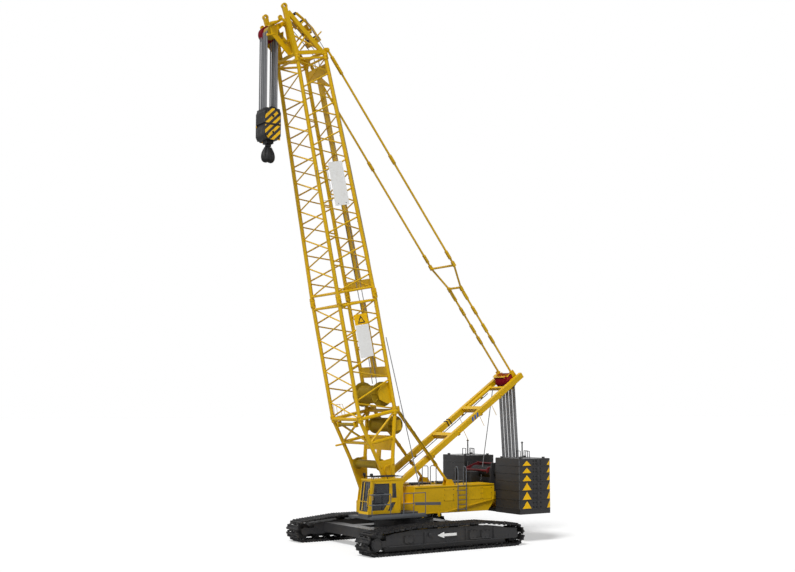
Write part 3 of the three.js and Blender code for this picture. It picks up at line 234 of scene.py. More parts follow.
YELLOW = enamel("golden_yellow_enamel", "#deb000", "#a98a0a")
MARKER_YELLOW = enamel("marker_yellow_enamel", "#ffc600", "#e6ad00")
# The ochre is the golden yellow darkened to how it looks in shade. It is painted shade, used on
# drums, sheaves, rollers and the shadow line under the deck's top edge.
PAINTED_SHADE_OCHRE = enamel("painted_shade_ochre_enamel", "#a08411", "#6c5a10", 0.5)
CHARCOAL = enamel("charcoal_enamel", "#343436", "#453f36", 0.26)
GREY = enamel("walkway_grey_enamel", "#62666c", "#4f5153", 0.45)
WHITE = enamel("white_enamel", "#fbfbf9", "#e6e4de", 0.35)
BLUE = enamel("signal_blue_enamel", "#1f5fb0", "#234a7c", 0.35)
RED = enamel("dark_red_enamel", "#8c1226", "#5f1118", 0.42)
OXIDE_RED = enamel("oxide_red_enamel", "#5c1218", "#3a1013", 0.5)
PLATFORM_GREY = enamel("platform_grey_enamel", "#4b4e51", "#424446", 0.45)

# %% [markdown]
# Track shoes are cast manganese steel. They leave the works black and the ground polishes their
# high spots, so the colour goes from near black to a worn brown grey. The casting skin is rough.

# %% Cast steel
def cast_steel(name, skin, worn):
    """Cast steel with a grainy black skin and rubbed patches."""
    finish, tree, place, shader = new_finish(name)
    rubbed = ramp(tree, noise(tree, place, 0.22, 6, 0.7), 0.5, 0.72)
    looks = {
        "Base Color": blend_colours(tree, rubbed, skin, worn),
        "Metallic": 0.35,
        "Roughness": spread(tree, rubbed, 0.62, 0.4),
        "Normal": bump(tree, noise(tree, place, 0.03, 3), 0.003),
    }
    feed(tree, shader, looks)
    return finish


SHOE_STEEL = cast_steel("cast_manganese_steel", "#17171a", "#4b4742")
DARK_STEEL = cast_steel("black_forged_steel", "#141416", "#2e2c2b")

# %% [markdown]
# Wire rope is six strands laid round a core, so a wave runs over it at a slant with its bands 33 mm
# apart, much like the strands of a real 30 mm rope. The two greys are close to each other. Across a
# yard the strands blend into one even grey, and only a close look shows them.

# %% Wire rope
def wire_rope():
    finish, tree, place, shader = new_finish("greased_wire_rope")
    strands = add_node(
        tree,
        "ShaderNodeTexWave",
        {"Vector": place, "Scale": 11.0, "Distortion": 0.6, "Detail": 1.0},
        wave_type="BANDS",
        bands_direction="DIAGONAL",
    ).outputs["Fac"]
    looks = {
        "Base Color": blend_colours(tree, strands, "#7b7c7f", "#898a8d"),
        "Metallic": 0.2,
        "Roughness": 0.5,
        "Normal": bump(tree, strands, 0.001),
    }
    feed(tree, shader, looks)
    return finish


ROPE = wire_rope()

# %% [markdown]
# Cab windows are toughened glass with a dark tint. Real glass would let light through twice and
# need thickness to bend it. A dark shader that is partly transmissive and very smooth looks the
# same here: it mirrors the sky and just shows the seat behind it.

# %% Glass, rubber and cloth
def tinted_glass():
    finish, tree, place, shader = new_finish("tinted_toughened_glass")
    film = ramp(tree, noise(tree, place, 0.5, 2), 0.3, 0.8)
    tint = blend_colours(tree, film, "#33363b", "#44484e")
    looks = {"Base Color": tint, "Roughness": 0.06, "IOR": 1.52, "Transmission Weight": 0.35}
    feed(tree, shader, looks)
    return finish


def soft_black(name, base, grain, depth):
    """Matt black rubber or cloth with an even grain, grain metres across."""
    finish, tree, place, shader = new_finish(name)
    weave = add_node(
        tree, "ShaderNodeTexVoronoi", {"Vector": place, "Scale": 1 / grain}
    ).outputs["Distance"]
    cloth = blend_colours(tree, weave, base, "#3d3d40")
    feed(tree, shader, {"Base Color": cloth, "Roughness": 0.85, "Normal": bump(tree, weave, depth)})
    return finish


GLASS = tinted_glass()
RUBBER = soft_black("black_moulded_rubber", "#1b1b1c", 0.01, 0.0008)
CLOTH = soft_black("woven_seat_cloth", "#232326", 0.012, 0.002)

# %% [markdown]
# ## Painting the frame
# Each piece of the frame is one node with its own mesh, and its finish depends only on what it is.
# A short list of name beginnings says which finish goes where, and everything not named is yellow.

# %% Give every frame node its finish
NODE_FINISHES = (
    (
        CHARCOAL,
        ("carbody", "crawler_frame", "idler", "travel_drive", "counterweight", "luffing_winch"),
    ),
    (DARK_STEEL, ("slewing_ring", "sprocket", "roller_set", "engine_block", "hook")),
    (SHOE_STEEL, ("track",)),
    (PLATFORM_GREY, ("cab_platform",)),
    (GLASS, ("door_glass", "windscreen_glass", "quarter_glass", "far_side_glass", "rear_glass")),
    (CLOTH, ("operator_seat",)),
    # The sheaves and hoist drums get the darker ochre, a yellow with painted shade in it.
    (PAINTED_SHADE_OCHRE, ("head_sheaves", "mast_sheaves", "hoist_winch")),
    (ROPE, ("hoist_ropes",)),
)


def finish_for(node):
    for finish, starts in NODE_FINISHES:
        if node.startswith(starts):
            return finish
    return YELLOW


for node_name, node_object in frame["nodes"].items():
    node_object.data.materials.clear()
    node_object.data.materials.append(finish_for(node_name))
bpy.ops.object.select_all(action="DESELECT")
print("finishes", sorted({finish_for(n).name for n in frame["nodes"]}))

# %% [markdown]
# ## How the new pieces are made
# Nearly everything that is added is plate, round bar or rope. A plate starts as a cube primitive of
# the right size, gets its edges bevelled and sometimes has faces inset. Round work starts as a
# cylinder. Rails and ropes are paths with a round section, turned into meshes. One could model each
# by dragging points, but a size and a place in code can be read and changed later.

# %% Selecting and applying
def select_only(*pieces):
    bpy.ops.object.select_all(action="DESELECT")
    for piece in pieces:
        piece.select_set(True)
    bpy.context.view_layer.objects.active = pieces[0]


def apply_modifier(piece, kind, **settings):
    modifier = piece.modifiers.new(kind.lower(), kind)
    for name, value in settings.items():
        setattr(modifier, name, value)
    select_only(piece)
    bpy.ops.object.modifier_apply(modifier=modifier.name)
    return piece


def settle(piece):
    """Puts the place, turn and size of a new primitive into its mesh."""
    select_only(piece)
    bpy.ops.object.transform_apply(location=True, rotation=True, scale=True)
    return piece


def join(*pieces):
    select_only(*pieces)
    bpy.ops.object.join()
    return bpy.context.object


def copies(piece, matrices):
    """The piece and one copy of it for each matrix, as one mesh."""
    made = []
    for matrix in matrices:
        twin = bpy.data.objects.new(piece.name, piece.data.copy())
        twin.data.transform(matrix)
        bpy.context.collection.objects.link(twin)
        made.append(twin)
    bpy.data.objects.remove(piece)
    return join(*made)


def moved(*places):
    return [Matrix.Translation(place) for place in places]


# %% Plates, round bars and rails
def plate(centre, size, turn=(0, 0, 0), edge=0.008):
    """A bar or plate with these side lengths and bevelled edges."""
    bpy.ops.mesh.primitive_cube_add(size=1, location=centre, rotation=turn, scale=size)
    piece = settle(bpy.context.object)
    return apply_modifier(piece, "BEVEL", width=edge, segments=2) if edge else piece


def pick_faces(piece, test):
    """Selects the faces whose normal passes the test and goes into edit mode."""
    select_only(piece)
    bpy.ops.object.mode_set(mode="EDIT")
    bpy.ops.mesh.select_mode(type="FACE")
    bpy.ops.mesh.select_all(action="DESELECT")
    bpy.ops.object.mode_set(mode="OBJECT")
    for face in piece.data.polygons:
        face.select = test(face.normal)
    bpy.ops.object.mode_set(mode="EDIT")


def press_in(piece, direction, rim, depth):
    """Insets the faces that look in a direction by rim and pushes them in by depth."""
    way = Vector(direction)
    pick_faces(piece, lambda normal: normal.dot(way) > 0.9)
    bpy.ops.mesh.inset(thickness=rim)
    bpy.ops.transform.translate(value=way * -depth)
    bpy.ops.object.mode_set(mode="OBJECT")


def panel(centre, size, direction, rim, depth):
    """A plate with a field pressed into the side that looks in a direction."""
    piece = plate(centre, size, edge=0)
    press_in(piece, direction, rim, depth)
    return apply_modifier(piece, "BEVEL", width=0.006, segments=2)


def rod(start, end, radius, sides=12, edge=0.0):
    """A round bar from start to end."""
    start, end = Vector(start), Vector(end)
    bpy.ops.mesh.primitive_cylinder_add(
        vertices=sides,
        radius=radius,
        depth=(end - start).length,
        location=(start + end) / 2,
        rotation=(end - start).to_track_quat("Z", "Y").to_euler(),
    )
    piece = settle(bpy.context.object)
    if edge:
        apply_modifier(
            piece, "BEVEL", width=edge, segments=2, limit_method="ANGLE", angle_limit=1.0
        )
    return piece


def rails(paths, radius, smooth=2):
    """Bent round bars or ropes that follow these lists of places, as one mesh."""
    line = bpy.data.curves.new("rail", "CURVE")
    line.dimensions = "3D"
    line.bevel_depth = radius
    line.bevel_resolution = smooth
    line.use_fill_caps = True
    for path in paths:
        spline = line.splines.new("POLY")
        spline.points.add(len(path) - 1)
        for point, place in zip(spline.points, path):
            point.co = (*place, 1)
    piece = bpy.data.objects.new("rail", line)
    bpy.context.collection.objects.link(piece)
    select_only(piece)
    bpy.ops.object.convert(target="MESH")
    return bpy.context.object


def axle(place, first, second, y0, y1, radius, sides=28, edge=0.012):
    """A round bar across the crane from y0 to y1, at two measures of crane, boom or mast."""
    return rod(place(first, y0, second), place(first, y1, second), radius, sides, edge)


def knob(place, radius):
    bpy.ops.mesh.primitive_uv_sphere_add(segments=14, ring_count=8, radius=radius, location=place)
    return apply_modifier(settle(bpy.context.object), "SUBSURF", levels=1, render_levels=1)


def outline_plate(corners, thickness):
    """A plate cut to an outline. The corners lie in one plane and the plate grows to both sides."""
    cut = bmesh.new()
    cut.faces.new([cut.verts.new(corner) for corner in corners])
    mesh = bpy.data.meshes.new("outline")
    cut.to_mesh(mesh)
    cut.free()
    piece = bpy.data.objects.new("outline", mesh)
    bpy.context.collection.objects.link(piece)
    apply_modifier(piece, "SOLIDIFY", thickness=thickness, offset=0)
    return apply_modifier(piece, "BEVEL", width=min(0.005, thickness / 4), segments=1)


def bolts(places, direction, across, height):
    """Hexagon bolt heads on washers that stand on these places."""
    way = Vector(direction)
    turn = way.to_track_quat("Z", "Y").to_matrix().to_4x4()
    bpy.ops.mesh.primitive_cylinder_add(
        vertices=6, radius=across / 2, depth=height, location=(0, 0, height / 2)
    )
    head = settle(bpy.context.object)
    press_in(head, UP, across * 0.12, -height * 0.2)
    washer = rod((0, 0, 0), (0, 0, height * 0.25), across * 0.7, 12)
    return copies(join(head, washer), [Matrix.Translation(place) @ turn for place in places])


def both_sides(make):
    """One piece of what make builds on the cab's side and on the far side."""
    return join(*make(1), *make(-1))


def bolts_both_sides(places, across, height):
    """Bolts on these places of the cab's side and on their mirror images on the far side."""
    far = [place - Vector((0, 2 * place.y, 0)) for place in places]
    return join(bolts(places, (0, 1, 0), across, height), bolts(far, (0, -1, 0), across, height))


# %% Giving a piece its name, finish and body
def finished(piece, name, finish, body, smooth=40):
    piece.name = name
    piece.data.name = name
    piece.data.materials.clear()
    piece.data.materials.append(finish)
    select_only(piece)
    bpy.ops.object.shade_smooth_by_angle(angle=math.radians(smooth))
    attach(piece, body)
    bpy.ops.object.select_all(action="DESELECT")
    print(name, len(piece.data.polygons), "faces on", body)
    return piece


# %% [markdown]
# ## Crawler tracks
# A crawler shoe is a casting a metre wide with two low bars across it that bite into the ground,
# and it hinges on its neighbour through lugs. The frame holds the belt as one band. Here it is
# swapped for sixty separate shoes a side, because the gaps and bars give a track its ragged edge.
# One shoe is shaped and copied along the band's own line, which runs over two wheels and a raised
# top run.

# %% The line that the shoes follow
WHEEL_X = 4.133
WHEEL_Z = 0.567
BAND = 0.16  # from the inner line of the band to the outer face of the shoes
TOP_FRONT = (2.0, 1.17)
TOP_REAR = (-2.3, 1.17)
SHOES = 60
SHOE_WIDTH = 1.17
TRACK_MIDDLE = 3.481


def wheel_arc(x, first, last, steps=24):
    """Points round a wheel on the band's inner line, from one angle to another in degrees."""
    radius = WHEEL_Z - BAND
    turns = [math.radians(first + (last - first) * i / steps) for i in range(steps + 1)]
    return [Vector((x + radius * math.cos(a), 0, WHEEL_Z + radius * math.sin(a))) for a in turns]


def tangent_turn(x, far, side):
    """The angle at which a line from far touches the wheel at x."""
    dx, dz = far[0] - x, far[1] - WHEEL_Z
    return math.degrees(
        math.atan2(dz, dx) - side * math.acos((WHEEL_Z - BAND) / math.hypot(dx, dz))
    )


def band_line():
    front = tangent_turn(WHEEL_X, TOP_FRONT, 1) % 360
    rear = tangent_turn(-WHEEL_X, TOP_REAR, -1) % 360
    return [
        *wheel_arc(WHEEL_X, -90, front),
        Vector((TOP_FRONT[0], 0, TOP_FRONT[1])),
        Vector((TOP_REAR[0], 0, TOP_REAR[1])),
        *wheel_arc(-WHEEL_X, rear, 270),
    ]


def along_band(share, line):
    """The place and direction at a share of the closed line's length."""
    closed = [*line, line[0]]
    lengths = [(b - a).length for a, b in zip(closed, closed[1:])]
    left = share * sum(lengths)
    for a, b, length in zip(closed, closed[1:], lengths):
        if left <= length:
            way = (b - a).normalized()
            return a + way * left, way
        left -= length
    return closed[0], (closed[1] - closed[0]).normalized()


BAND_LINE = band_line()
band_length = sum((b - a).length for a, b in zip(BAND_LINE, [*BAND_LINE[1:], BAND_LINE[0]]))
PITCH = band_length / SHOES
print("band", round(band_length, 3), "m, pitch", round(PITCH * 1000), "mm")

# %% One shoe and its copies
def shoe():
    """One shoe lying flat, with its outer face up at z = BAND and its middle at x = 0."""
    base = 0.045
    pad = plate((0, 0, base + 0.0425), (PITCH - 0.05, SHOE_WIDTH, 0.085), edge=0)
    press_in(pad, UP, 0.05, 0.018)
    bars = [
        plate((x, 0, base + 0.085 + 0.014), (0.05, SHOE_WIDTH - 0.02, 0.03), edge=0)
        for x in (-0.085, 0.085)
    ]
    lugs = [
        plate((PITCH / 2 * way, y, base + 0.02), (0.11, 0.13, 0.07), edge=0)
        for way, row in ((1, (-0.42, 0, 0.42)), (-1, (-0.24, 0.24)))
        for y in row
    ]
    ears = [plate((0, y, 0.03), (0.14, 0.06, 0.06), edge=0) for y in (-0.2, 0.2)]
    return apply_modifier(
        join(pad, *bars, *lugs, *ears), "BEVEL", width=0.008, segments=1, limit_method="ANGLE"
    )


def shoe_matrices(y):
    matrices = []
    for i in range(SHOES):
        place, way = along_band((i + 0.5) / SHOES, BAND_LINE)
        out = Vector((way.z, 0, -way.x))
        turn = Matrix((way, way.cross(out) * -1, out)).transposed().to_4x4()
        matrices.append(Matrix.Translation(crane(place.x, y, place.z)) @ turn)
    return matrices


for side, y in (("l", TRACK_MIDDLE), ("r", -TRACK_MIDDLE)):
    shoes = copies(shoe(), shoe_matrices(y))
    finished(shoes, "track_shoes_" + side, SHOE_STEEL, "undercarriage", 30)
    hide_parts("track_" + side)

# %% [markdown]
# ## Crawler side frames
# The outer side of each crawler frame is a long box beam. It carries a white arrow that shows
# which way is forward, bolted covers over the tensioner, and a round cap on the idler's axle. The
# arrow is thin white plate standing 8 mm proud, which is how a painted sign reads at this
# distance.

# %% Direction arrows
FACE = 4.021  # the y of the outer face
HUB_FACE = 4.016
ARROW = (
    (-0.44, 0.745), (0.3, 0.745), (0.3, 0.66), (0.7, 0.81), (0.3, 0.96), (0.3, 0.875),
    (-0.44, 0.875),
)
arrows = [outline_plate(level(crane, side * (FACE + 0.008), *ARROW), 0.012) for side in SIDES]
finished(join(*arrows), "direction_arrows", WHITE, "undercarriage")

# %% Covers, seams and lugs on the side frames
# The x, z, width and height of each cover.
COVERS = ((2.35, 0.72, 0.5, 0.34), (-1.45, 0.74, 0.46, 0.4), (-2.2, 0.72, 0.5, 0.36))


def side_frame_parts(side):
    y = side * FACE
    out = (0, side, 0)
    covers = [
        panel(crane(x, y, z), (w, 0.03, h), out, 0.035, 0.01)
        for x, z, w, h in COVERS
    ]
    seams = [plate(crane(x, y, 0.73), (0.05, 0.03, 0.62), edge=0.01) for x in (1.43, -1.02, -2.74)]
    ledge = plate(crane(0, y, 0.44), (7.0, 0.05, 0.05), edge=0.01)
    chain_guard = outline_plate(
        level(
            crane, side * 3.96, (-3.7, 0.86), (3.7, 0.86), (3.3, 1.02), (2.0, 1.14), (-2.3, 1.14),
            (-3.4, 1.0),
        ),
        0.03,
    )
    roller_guard = plate(crane(0, side * 3.8, 0.31), (7.2, 0.03, 0.26), edge=0.008)
    lug = axle(crane, 1.12, 0.86, y - side * 0.02, y + side * 0.035, 0.1, 20, 0.01)
    pin = axle(crane, 1.12, 0.86, y, y + side * 0.04, 0.045, 16, 0.008)
    cylinder = rod(
        crane(-1.25, y + side * 0.01, 0.52), crane(-2.5, y + side * 0.01, 0.52), 0.035, 14, 0.008
    )
    return [*covers, *seams, ledge, chain_guard, roller_guard, lug, pin, cylinder]


finished(
    both_sides(side_frame_parts), "crawler_side_covers", CHARCOAL, "undercarriage"
)

# %% Bolts on covers and hub caps
def ring_places(x, y, z, radius, count):
    turns = [2 * math.pi * i / count for i in range(count)]
    return [crane(x + radius * math.cos(a), y, z + radius * math.sin(a)) for a in turns]


cover_bolts = [
    crane(x + dx, FACE + 0.012, z + dz)
    for x, z, w, h in COVERS
    for dx in (-w / 2 + 0.02, 0, w / 2 - 0.02)
    for dz in (-h / 2 + 0.02, h / 2 - 0.02)
]
hub_bolts = ring_places(WHEEL_X, HUB_FACE, WHEEL_Z, 0.25, 14)
crawler_bolts = bolts_both_sides(cover_bolts + hub_bolts, 0.045, 0.024)
finished(crawler_bolts, "crawler_bolts", DARK_STEEL, "undercarriage")

# %% [markdown]
# ## Deck, ladder and rails
# The upper works are one long welded box with covers over the engine. Its side carries a bolted
# ladder, lifting lugs and louvred doors. All of it is thin beside the box, so each is a low relief:
# plates stand 10 to 30 mm proud. A plain grey stripe takes the place where a name would be painted.

# %% Side panels, lugs and stripe
DECK_SIDE = 1.56
DECK_TOP = 2.95
DECK_DOORS = ((-3.35, 0.95), (-4.2, 0.62), (-1.75, 0.62))  # middle and width of each
LUG = ((-0.08, 1.6), (-0.05, 1.42), (0.05, 1.42), (0.08, 1.6))


def deck_side_parts(side):
    y = side * DECK_SIDE
    out = (0, side, 0)
    doors = [
        panel(crane(x, y, 2.48), (w, 0.024, 0.62), out, 0.05, 0.008)
        for x, w in DECK_DOORS
    ]
    fold = outline_plate(
        level(
            crane, y + side * 0.006, (-1.49, 1.585), (-1.49, 1.64), (-4.67, 2.19), (-4.67, 2.135)
        ),
        0.03,
    )
    top_rim = plate(crane(-2.14, y, DECK_TOP - 0.03), (5.04, 0.04, 0.06))
    low_rim = plate(crane(-0.55, y, 1.615), (1.88, 0.04, 0.05))
    front_rim = plate(crane(0.385, y, 2.27), (0.05, 0.04, 1.3))
    lugs = [
        outline_plate(level(crane, y + side * 0.04, *LUG, at=(x, 0)), 0.03)
        for x in (-0.1, -1.1)
    ]
    return [*doors, fold, top_rim, low_rim, front_rim, *lugs]


finished(
    both_sides(deck_side_parts), "deck_side_panels", YELLOW, "superstructure"
)
stripe = outline_plate(
    level(crane, DECK_SIDE + 0.004, (0.33, 2.06), (0.33, 2.2), (-1.24, 2.14), (-1.24, 2.0)), 0.006
)
finished(stripe, "deck_side_stripe", GREY, "superstructure")
# A thin dark ochre strip below the deck's top edge is a painted shadow line. It stands for the
# shade that the lip of the top plate throws on the side.
deck_edge_shadow_strips = [
    plate(crane(-2.15, side * 1.566, 2.885), (4.9, 0.012, 0.045), edge=0.003)
    for side in SIDES
]
finished(join(*deck_edge_shadow_strips), "deck_top_edge_painted_shadow", PAINTED_SHADE_OCHRE, "superstructure")
door_bolts = [
    crane(x + dx, DECK_SIDE + 0.012, z)
    for x, w in DECK_DOORS
    for dx in (-w / 2 + 0.025, w / 2 - 0.025)
    for z in (2.21, 2.48, 2.75)
]
side_bolts = bolts_both_sides(door_bolts, 0.03, 0.016)
finished(side_bolts, "deck_side_bolts", DARK_STEEL, "superstructure")

# %% Deck top: hatches, exhaust and filler caps
hatches = [
    panel(crane(x, side * 0.98, DECK_TOP + 0.012), (length, 0.95, 0.03), UP, 0.06, 0.01)
    for side in SIDES
    for x, length in ((-0.45, 1.4), (-3.7, 1.5))
]
slope = outline_plate(
    level(crane, DECK_SIDE - 0.03, (0.39, DECK_TOP), (-1.6, DECK_TOP), (-1.6, 2.98), (0.1, 2.99)),
    0.03,
)
finished(join(*hatches, slope), "deck_hatches", YELLOW, "superstructure")


def louvres(x, y, length, width, count):
    """A low box with a row of slats, which lets hot air out of the engine bay."""
    frame_box = panel(crane(x, y, DECK_TOP + 0.05), (length, width, 0.1), UP, 0.05, 0.04)
    step = (length - 0.2) / count
    slats = [
        plate(
            crane(x - length / 2 + 0.1 + step * (i + 0.5), y, DECK_TOP + 0.085),
            (step * 0.8, width - 0.12, 0.012),
            (0, 0.5, 0),
            0.003,
        )
        for i in range(count)
    ]
    return [frame_box, *slats]


finished(
    join(*louvres(-3.0, 0, 1.5, 0.72, 12), *louvres(-1.0, 0, 0.9, 0.7, 8)),
    "engine_louvres",
    CHARCOAL,
    "superstructure",
)
stack = rod(crane(-4.1, -1.1, DECK_TOP), crane(-4.1, -1.1, 3.5), 0.11, 24, 0.01)
rain_cap = rod(crane(-4.1, -1.1, 3.5), crane(-4.2, -1.1, 3.72), 0.07, 20, 0.008)
caps = [
    rod(crane(x, y, DECK_TOP), crane(x, y, DECK_TOP + 0.09), 0.07, 16, 0.012)
    for x, y in ((-2.3, -0.7), (-0.2, 0.5), (-2.55, -0.7))
]
finished(
    join(stack, rain_cap, *caps), "exhaust_and_caps", DARK_STEEL, "superstructure"
)

# %% [markdown]
# The ladder is two round rails bent over at the top like a swimming pool ladder, with six round
# rungs. Each rail is one path, so the hook at its top is a real bend and not two bars that touch.

# %% Ladder and deck rails
LADDER = (-2.26, -2.79)
LADDER_Y = 1.66
RUNG_Z = (1.72, 1.96, 2.2, 2.44, 2.68, 2.92)
# The y and z of each bend.
HOOKED_RAIL = (
    (LADDER_Y, 1.62), (LADDER_Y, 3.72), (1.61, 3.86), (1.5, 3.9), (1.42, 3.84), (1.4, DECK_TOP)
)
ladder = rails([[crane(x, y, z) for y, z in HOOKED_RAIL] for x in LADDER], 0.024)
rungs = rails([[crane(x, LADDER_Y, z) for x in LADDER] for z in RUNG_Z], 0.018)
feet = [plate(crane(x, 1.6, z), (0.05, 0.14, 0.03)) for x in LADDER for z in (1.75, 2.7)]
# The step to the rear and the z of each bend.
HOOP = ((0, DECK_TOP), (0, 3.86), (0.06, 3.93), (0.3, 3.93), (0.36, 3.86), (0.36, DECK_TOP))
deck_rails = rails([[crane(x - back, 0.62, z) for back, z in HOOP] for x in (-0.74, -1.25)], 0.022)
finished(
    join(ladder, rungs, *feet, deck_rails),
    "ladder_and_deck_rails",
    GREY,
    "superstructure",
)

# %% [markdown]
# ## Counterweights
# Each stack is six cast slabs. The outer side shows a column of yellow warning triangles near the
# front edge and half of another column at the rear, three columns of bolts beside a rib, and a
# pale strip on the front corner. Lifting posts stand on the slabs. The triangles are generic hazard
# signs without letters.

# %% Warning triangles
STACK_FACE = 3.425
SLAB_TOPS = [2.15, 2.62, 3.09, 3.49, 3.89, 4.29]
SLAB_BOTTOMS = [1.68, *SLAB_TOPS[:-1]]


def triangle(x, width, low, high, side, tip=0):
    """A triangle round x. Its tip stands beside x by tip."""
    corners = ((width / 2, low), (-width / 2, low), (tip, high))
    return outline_plate(level(crane, side * (STACK_FACE + 0.004), *corners, at=(x, 0)), 0.008)


ROWS = [(1.74, 2.13), (2.2, 2.6), (2.68, 3.06), (3.15, 3.45), (3.56, 3.83), (3.93, 4.19)]
triangles = []
for low, high in ROWS:
    for side in SIDES:
        triangles.append(triangle(-5.38, 0.58, low, high, side))
        triangles.append(triangle(-6.81, 0.2, low, high, side, tip=-0.1))
finished(
    join(*triangles), "counterweight_triangles", MARKER_YELLOW, "superstructure"
)

# %% Ribs, bolts, corner strips and lifting posts
def stack_parts(side):
    y = side * STACK_FACE
    ribs = [
        plate(crane(-6.12, y + side * 0.006, (b + t) / 2 - 0.006), (0.09, 0.03, t - b - 0.05))
        for b, t in zip(SLAB_BOTTOMS, SLAB_TOPS)
    ]
    rims = [
        plate(crane(-5.92, y, b + 0.035), (1.99, 0.016, 0.03), edge=0.004) for b in SLAB_BOTTOMS
    ]
    front_rims = [
        plate(crane(-4.916, side * 2.405, b + 0.035), (0.016, 2.02, 0.03), edge=0.004)
        for b in SLAB_BOTTOMS
    ]
    return [*ribs, *rims, *front_rims]


finished(
    both_sides(stack_parts), "counterweight_ribs", CHARCOAL, "superstructure"
)
bolt_places = [
    crane(x, STACK_FACE, z)
    for b, t in zip(SLAB_BOTTOMS, SLAB_TOPS)
    for z in (b + 0.13, t - 0.12)
    for x in (-5.82, -6.0, -6.3)
]
stack_bolts = bolts_both_sides(bolt_places, 0.07, 0.02)
finished(stack_bolts, "counterweight_bolts", DARK_STEEL, "superstructure")
strips = [
    plate(crane(-4.93, side * (STACK_FACE - 0.055), 2.97), (0.03, 0.05, 2.5), edge=0.006)
    for side in SIDES
]
finished(join(*strips), "counterweight_corner_strips", GREY, "superstructure")
POST_PLACES = ((-6.43, 1.77), (-6.19, -2.79))
posts = []
for x, y in POST_PLACES:
    posts.append(rod(crane(x, y, 4.28), crane(x, y, 5.12), 0.035, 14, 0.008))
    posts.append(plate(crane(x, y, 4.3), (0.22, 0.22, 0.03)))
    posts.append(rod(crane(x - 0.08, y, 5.05), crane(x + 0.08, y, 5.05), 0.02, 10))
HANDLE = ((0, 4.29), (0, 4.62), (0.3, 4.62), (0.3, 4.29))  # the y and z of each bend
rack = [
    [crane(x + dx, y + dy + wide, z) for wide, z in HANDLE]
    for x, y in POST_PLACES
    for dx, dy in ((0.25, -0.15), (-0.25, -0.15), (0, 0.3))
]
finished(
    join(*posts, rails(rack, 0.022)), "counterweight_posts", DARK_STEEL, "superstructure",
)

# %% [markdown]
# ## Between the counterweights
# The luffing winch stands between the stacks, with red guards over its sheaves and gearbox. The
# rope on a drum is a tight coil, so it is drawn as a row of rings as thick as the rope. Real rope
# is 30 mm thick. It is drawn 45 mm thick so that the coils still show.

# %% Rope coils on a drum
def coils(middle, radius, half, thickness):
    """Rope wound on a drum that lies across the crane: one thin ring for each turn."""
    bpy.ops.mesh.primitive_torus_add(
        major_radius=radius,
        minor_radius=thickness / 2,
        major_segments=36,
        minor_segments=6,
        location=(0, 0, 0),
        rotation=(math.pi / 2, 0, 0),
    )
    ring = settle(bpy.context.object)
    count = int(2 * half / thickness)
    return copies(
        ring,
        moved(
            *[Vector(middle) + Vector((0, (i + 0.5) * thickness - half, 0)) for i in range(count)]
        ),
    )


WINCH = (-5.25, 3.5)  # the drum's x and z
finished(
    coils(crane(WINCH[0], 0, WINCH[1]), 0.28, 0.93, 0.045),
    "luffing_winch_rope",
    DARK_STEEL,
    "superstructure",
)

# %% Red guards and gearbox
guards = [
    outline_plate(
        level(
            crane, y, (-4.7, 3.45), (-4.72, 3.72), (-5.5, 3.98), (-5.85, 3.82), (-5.82, 3.66),
            (-5.3, 3.8), (-4.9, 3.55),
        ),
        0.05,
    )
    for y in (-0.9, 0.9)
]
bars = [axle(crane, x, z, -0.92, 0.92, 0.06, 14, 0.01) for x, z in ((-4.74, 3.58), (-5.6, 3.9))]
finished(join(*guards, *bars), "winch_guards", OXIDE_RED, "superstructure")
gearbox = [
    axle(crane, *WINCH, side * start, side * end, radius)
    for start, end, radius in ((1.085, 1.3, 0.26), (1.3, 1.37, 0.14))
    for side in SIDES
]
cabinets = [
    panel(crane(-4.3, y, 3.25), (0.5, 0.34, 0.55), FORWARD, 0.04, 0.012)
    for y in (-0.2, 0.22)
]
finished(join(*gearbox, *cabinets), "winch_gearboxes", DARK_STEEL, "superstructure")

# %% [markdown]
# ## Cab
# The operator's cab is a yellow shell with tinted glass on every side. Round it are the things that
# hands and feet use: a platform with a rail, grab handles, a door handle, a mirror, wipers and a
# guard of bars over the roof window. Bars and rails are paths. Rubber seals are flat rings round
# each pane, since a pane without a seal looks like a hole.

# %% Places on the cab
CAB_REAR, CAB_FRONT = 1.85, 3.72
CAB_FLOOR, CAB_TOP = 1.83, 3.49
LEAN = 0.2


def front_at(z):
    return CAB_FRONT - LEAN * (z - CAB_FLOOR) / (CAB_TOP - CAB_FLOOR)


def ahead(gap, y, z):
    """A place on the windscreen at y and z, standing off the glass by gap."""
    return crane(front_at(z) + gap, y, z)


def rear_at(z):
    return CAB_REAR - LEAN * (z - CAB_FLOOR) / (CAB_TOP - CAB_FLOOR)


# %% Lower quarter glass
PANE = ((2.36, 1.97), (2.57, 1.97), (2.34, 2.35), (2.13, 2.35))
low_glass = outline_plate(level(crane, 2.498, *PANE), 0.01)
finished(low_glass, "lower_quarter_glass", GLASS, "superstructure")

# %% Window seals
def ring_of(corners, radius):
    return rails([[*corners, corners[0], corners[1]]], radius, 1)


seals = [
    ring_of(level(crane, 2.5, *PANE), 0.014),
    ring_of(
        [ahead(0.004, y, z) for y, z in ((1.73, 1.98), (2.43, 1.98), (2.43, 3.35), (1.73, 3.35))],
        0.016,
    ),
    ring_of(
        [
            crane(rear_at(z) - 0.004, y, z)
            for y, z in ((1.78, 2.67), (2.38, 2.67), (2.38, 3.28), (1.78, 3.28))
        ],
        0.014,
    ),
    ring_of(level(crane, 1.645, (2.17, 2.47), (3.28, 2.47), (3.28, 3.32), (2.17, 3.32)), 0.014),
]
finished(join(*seals), "cab_window_seals", RUBBER, "superstructure")

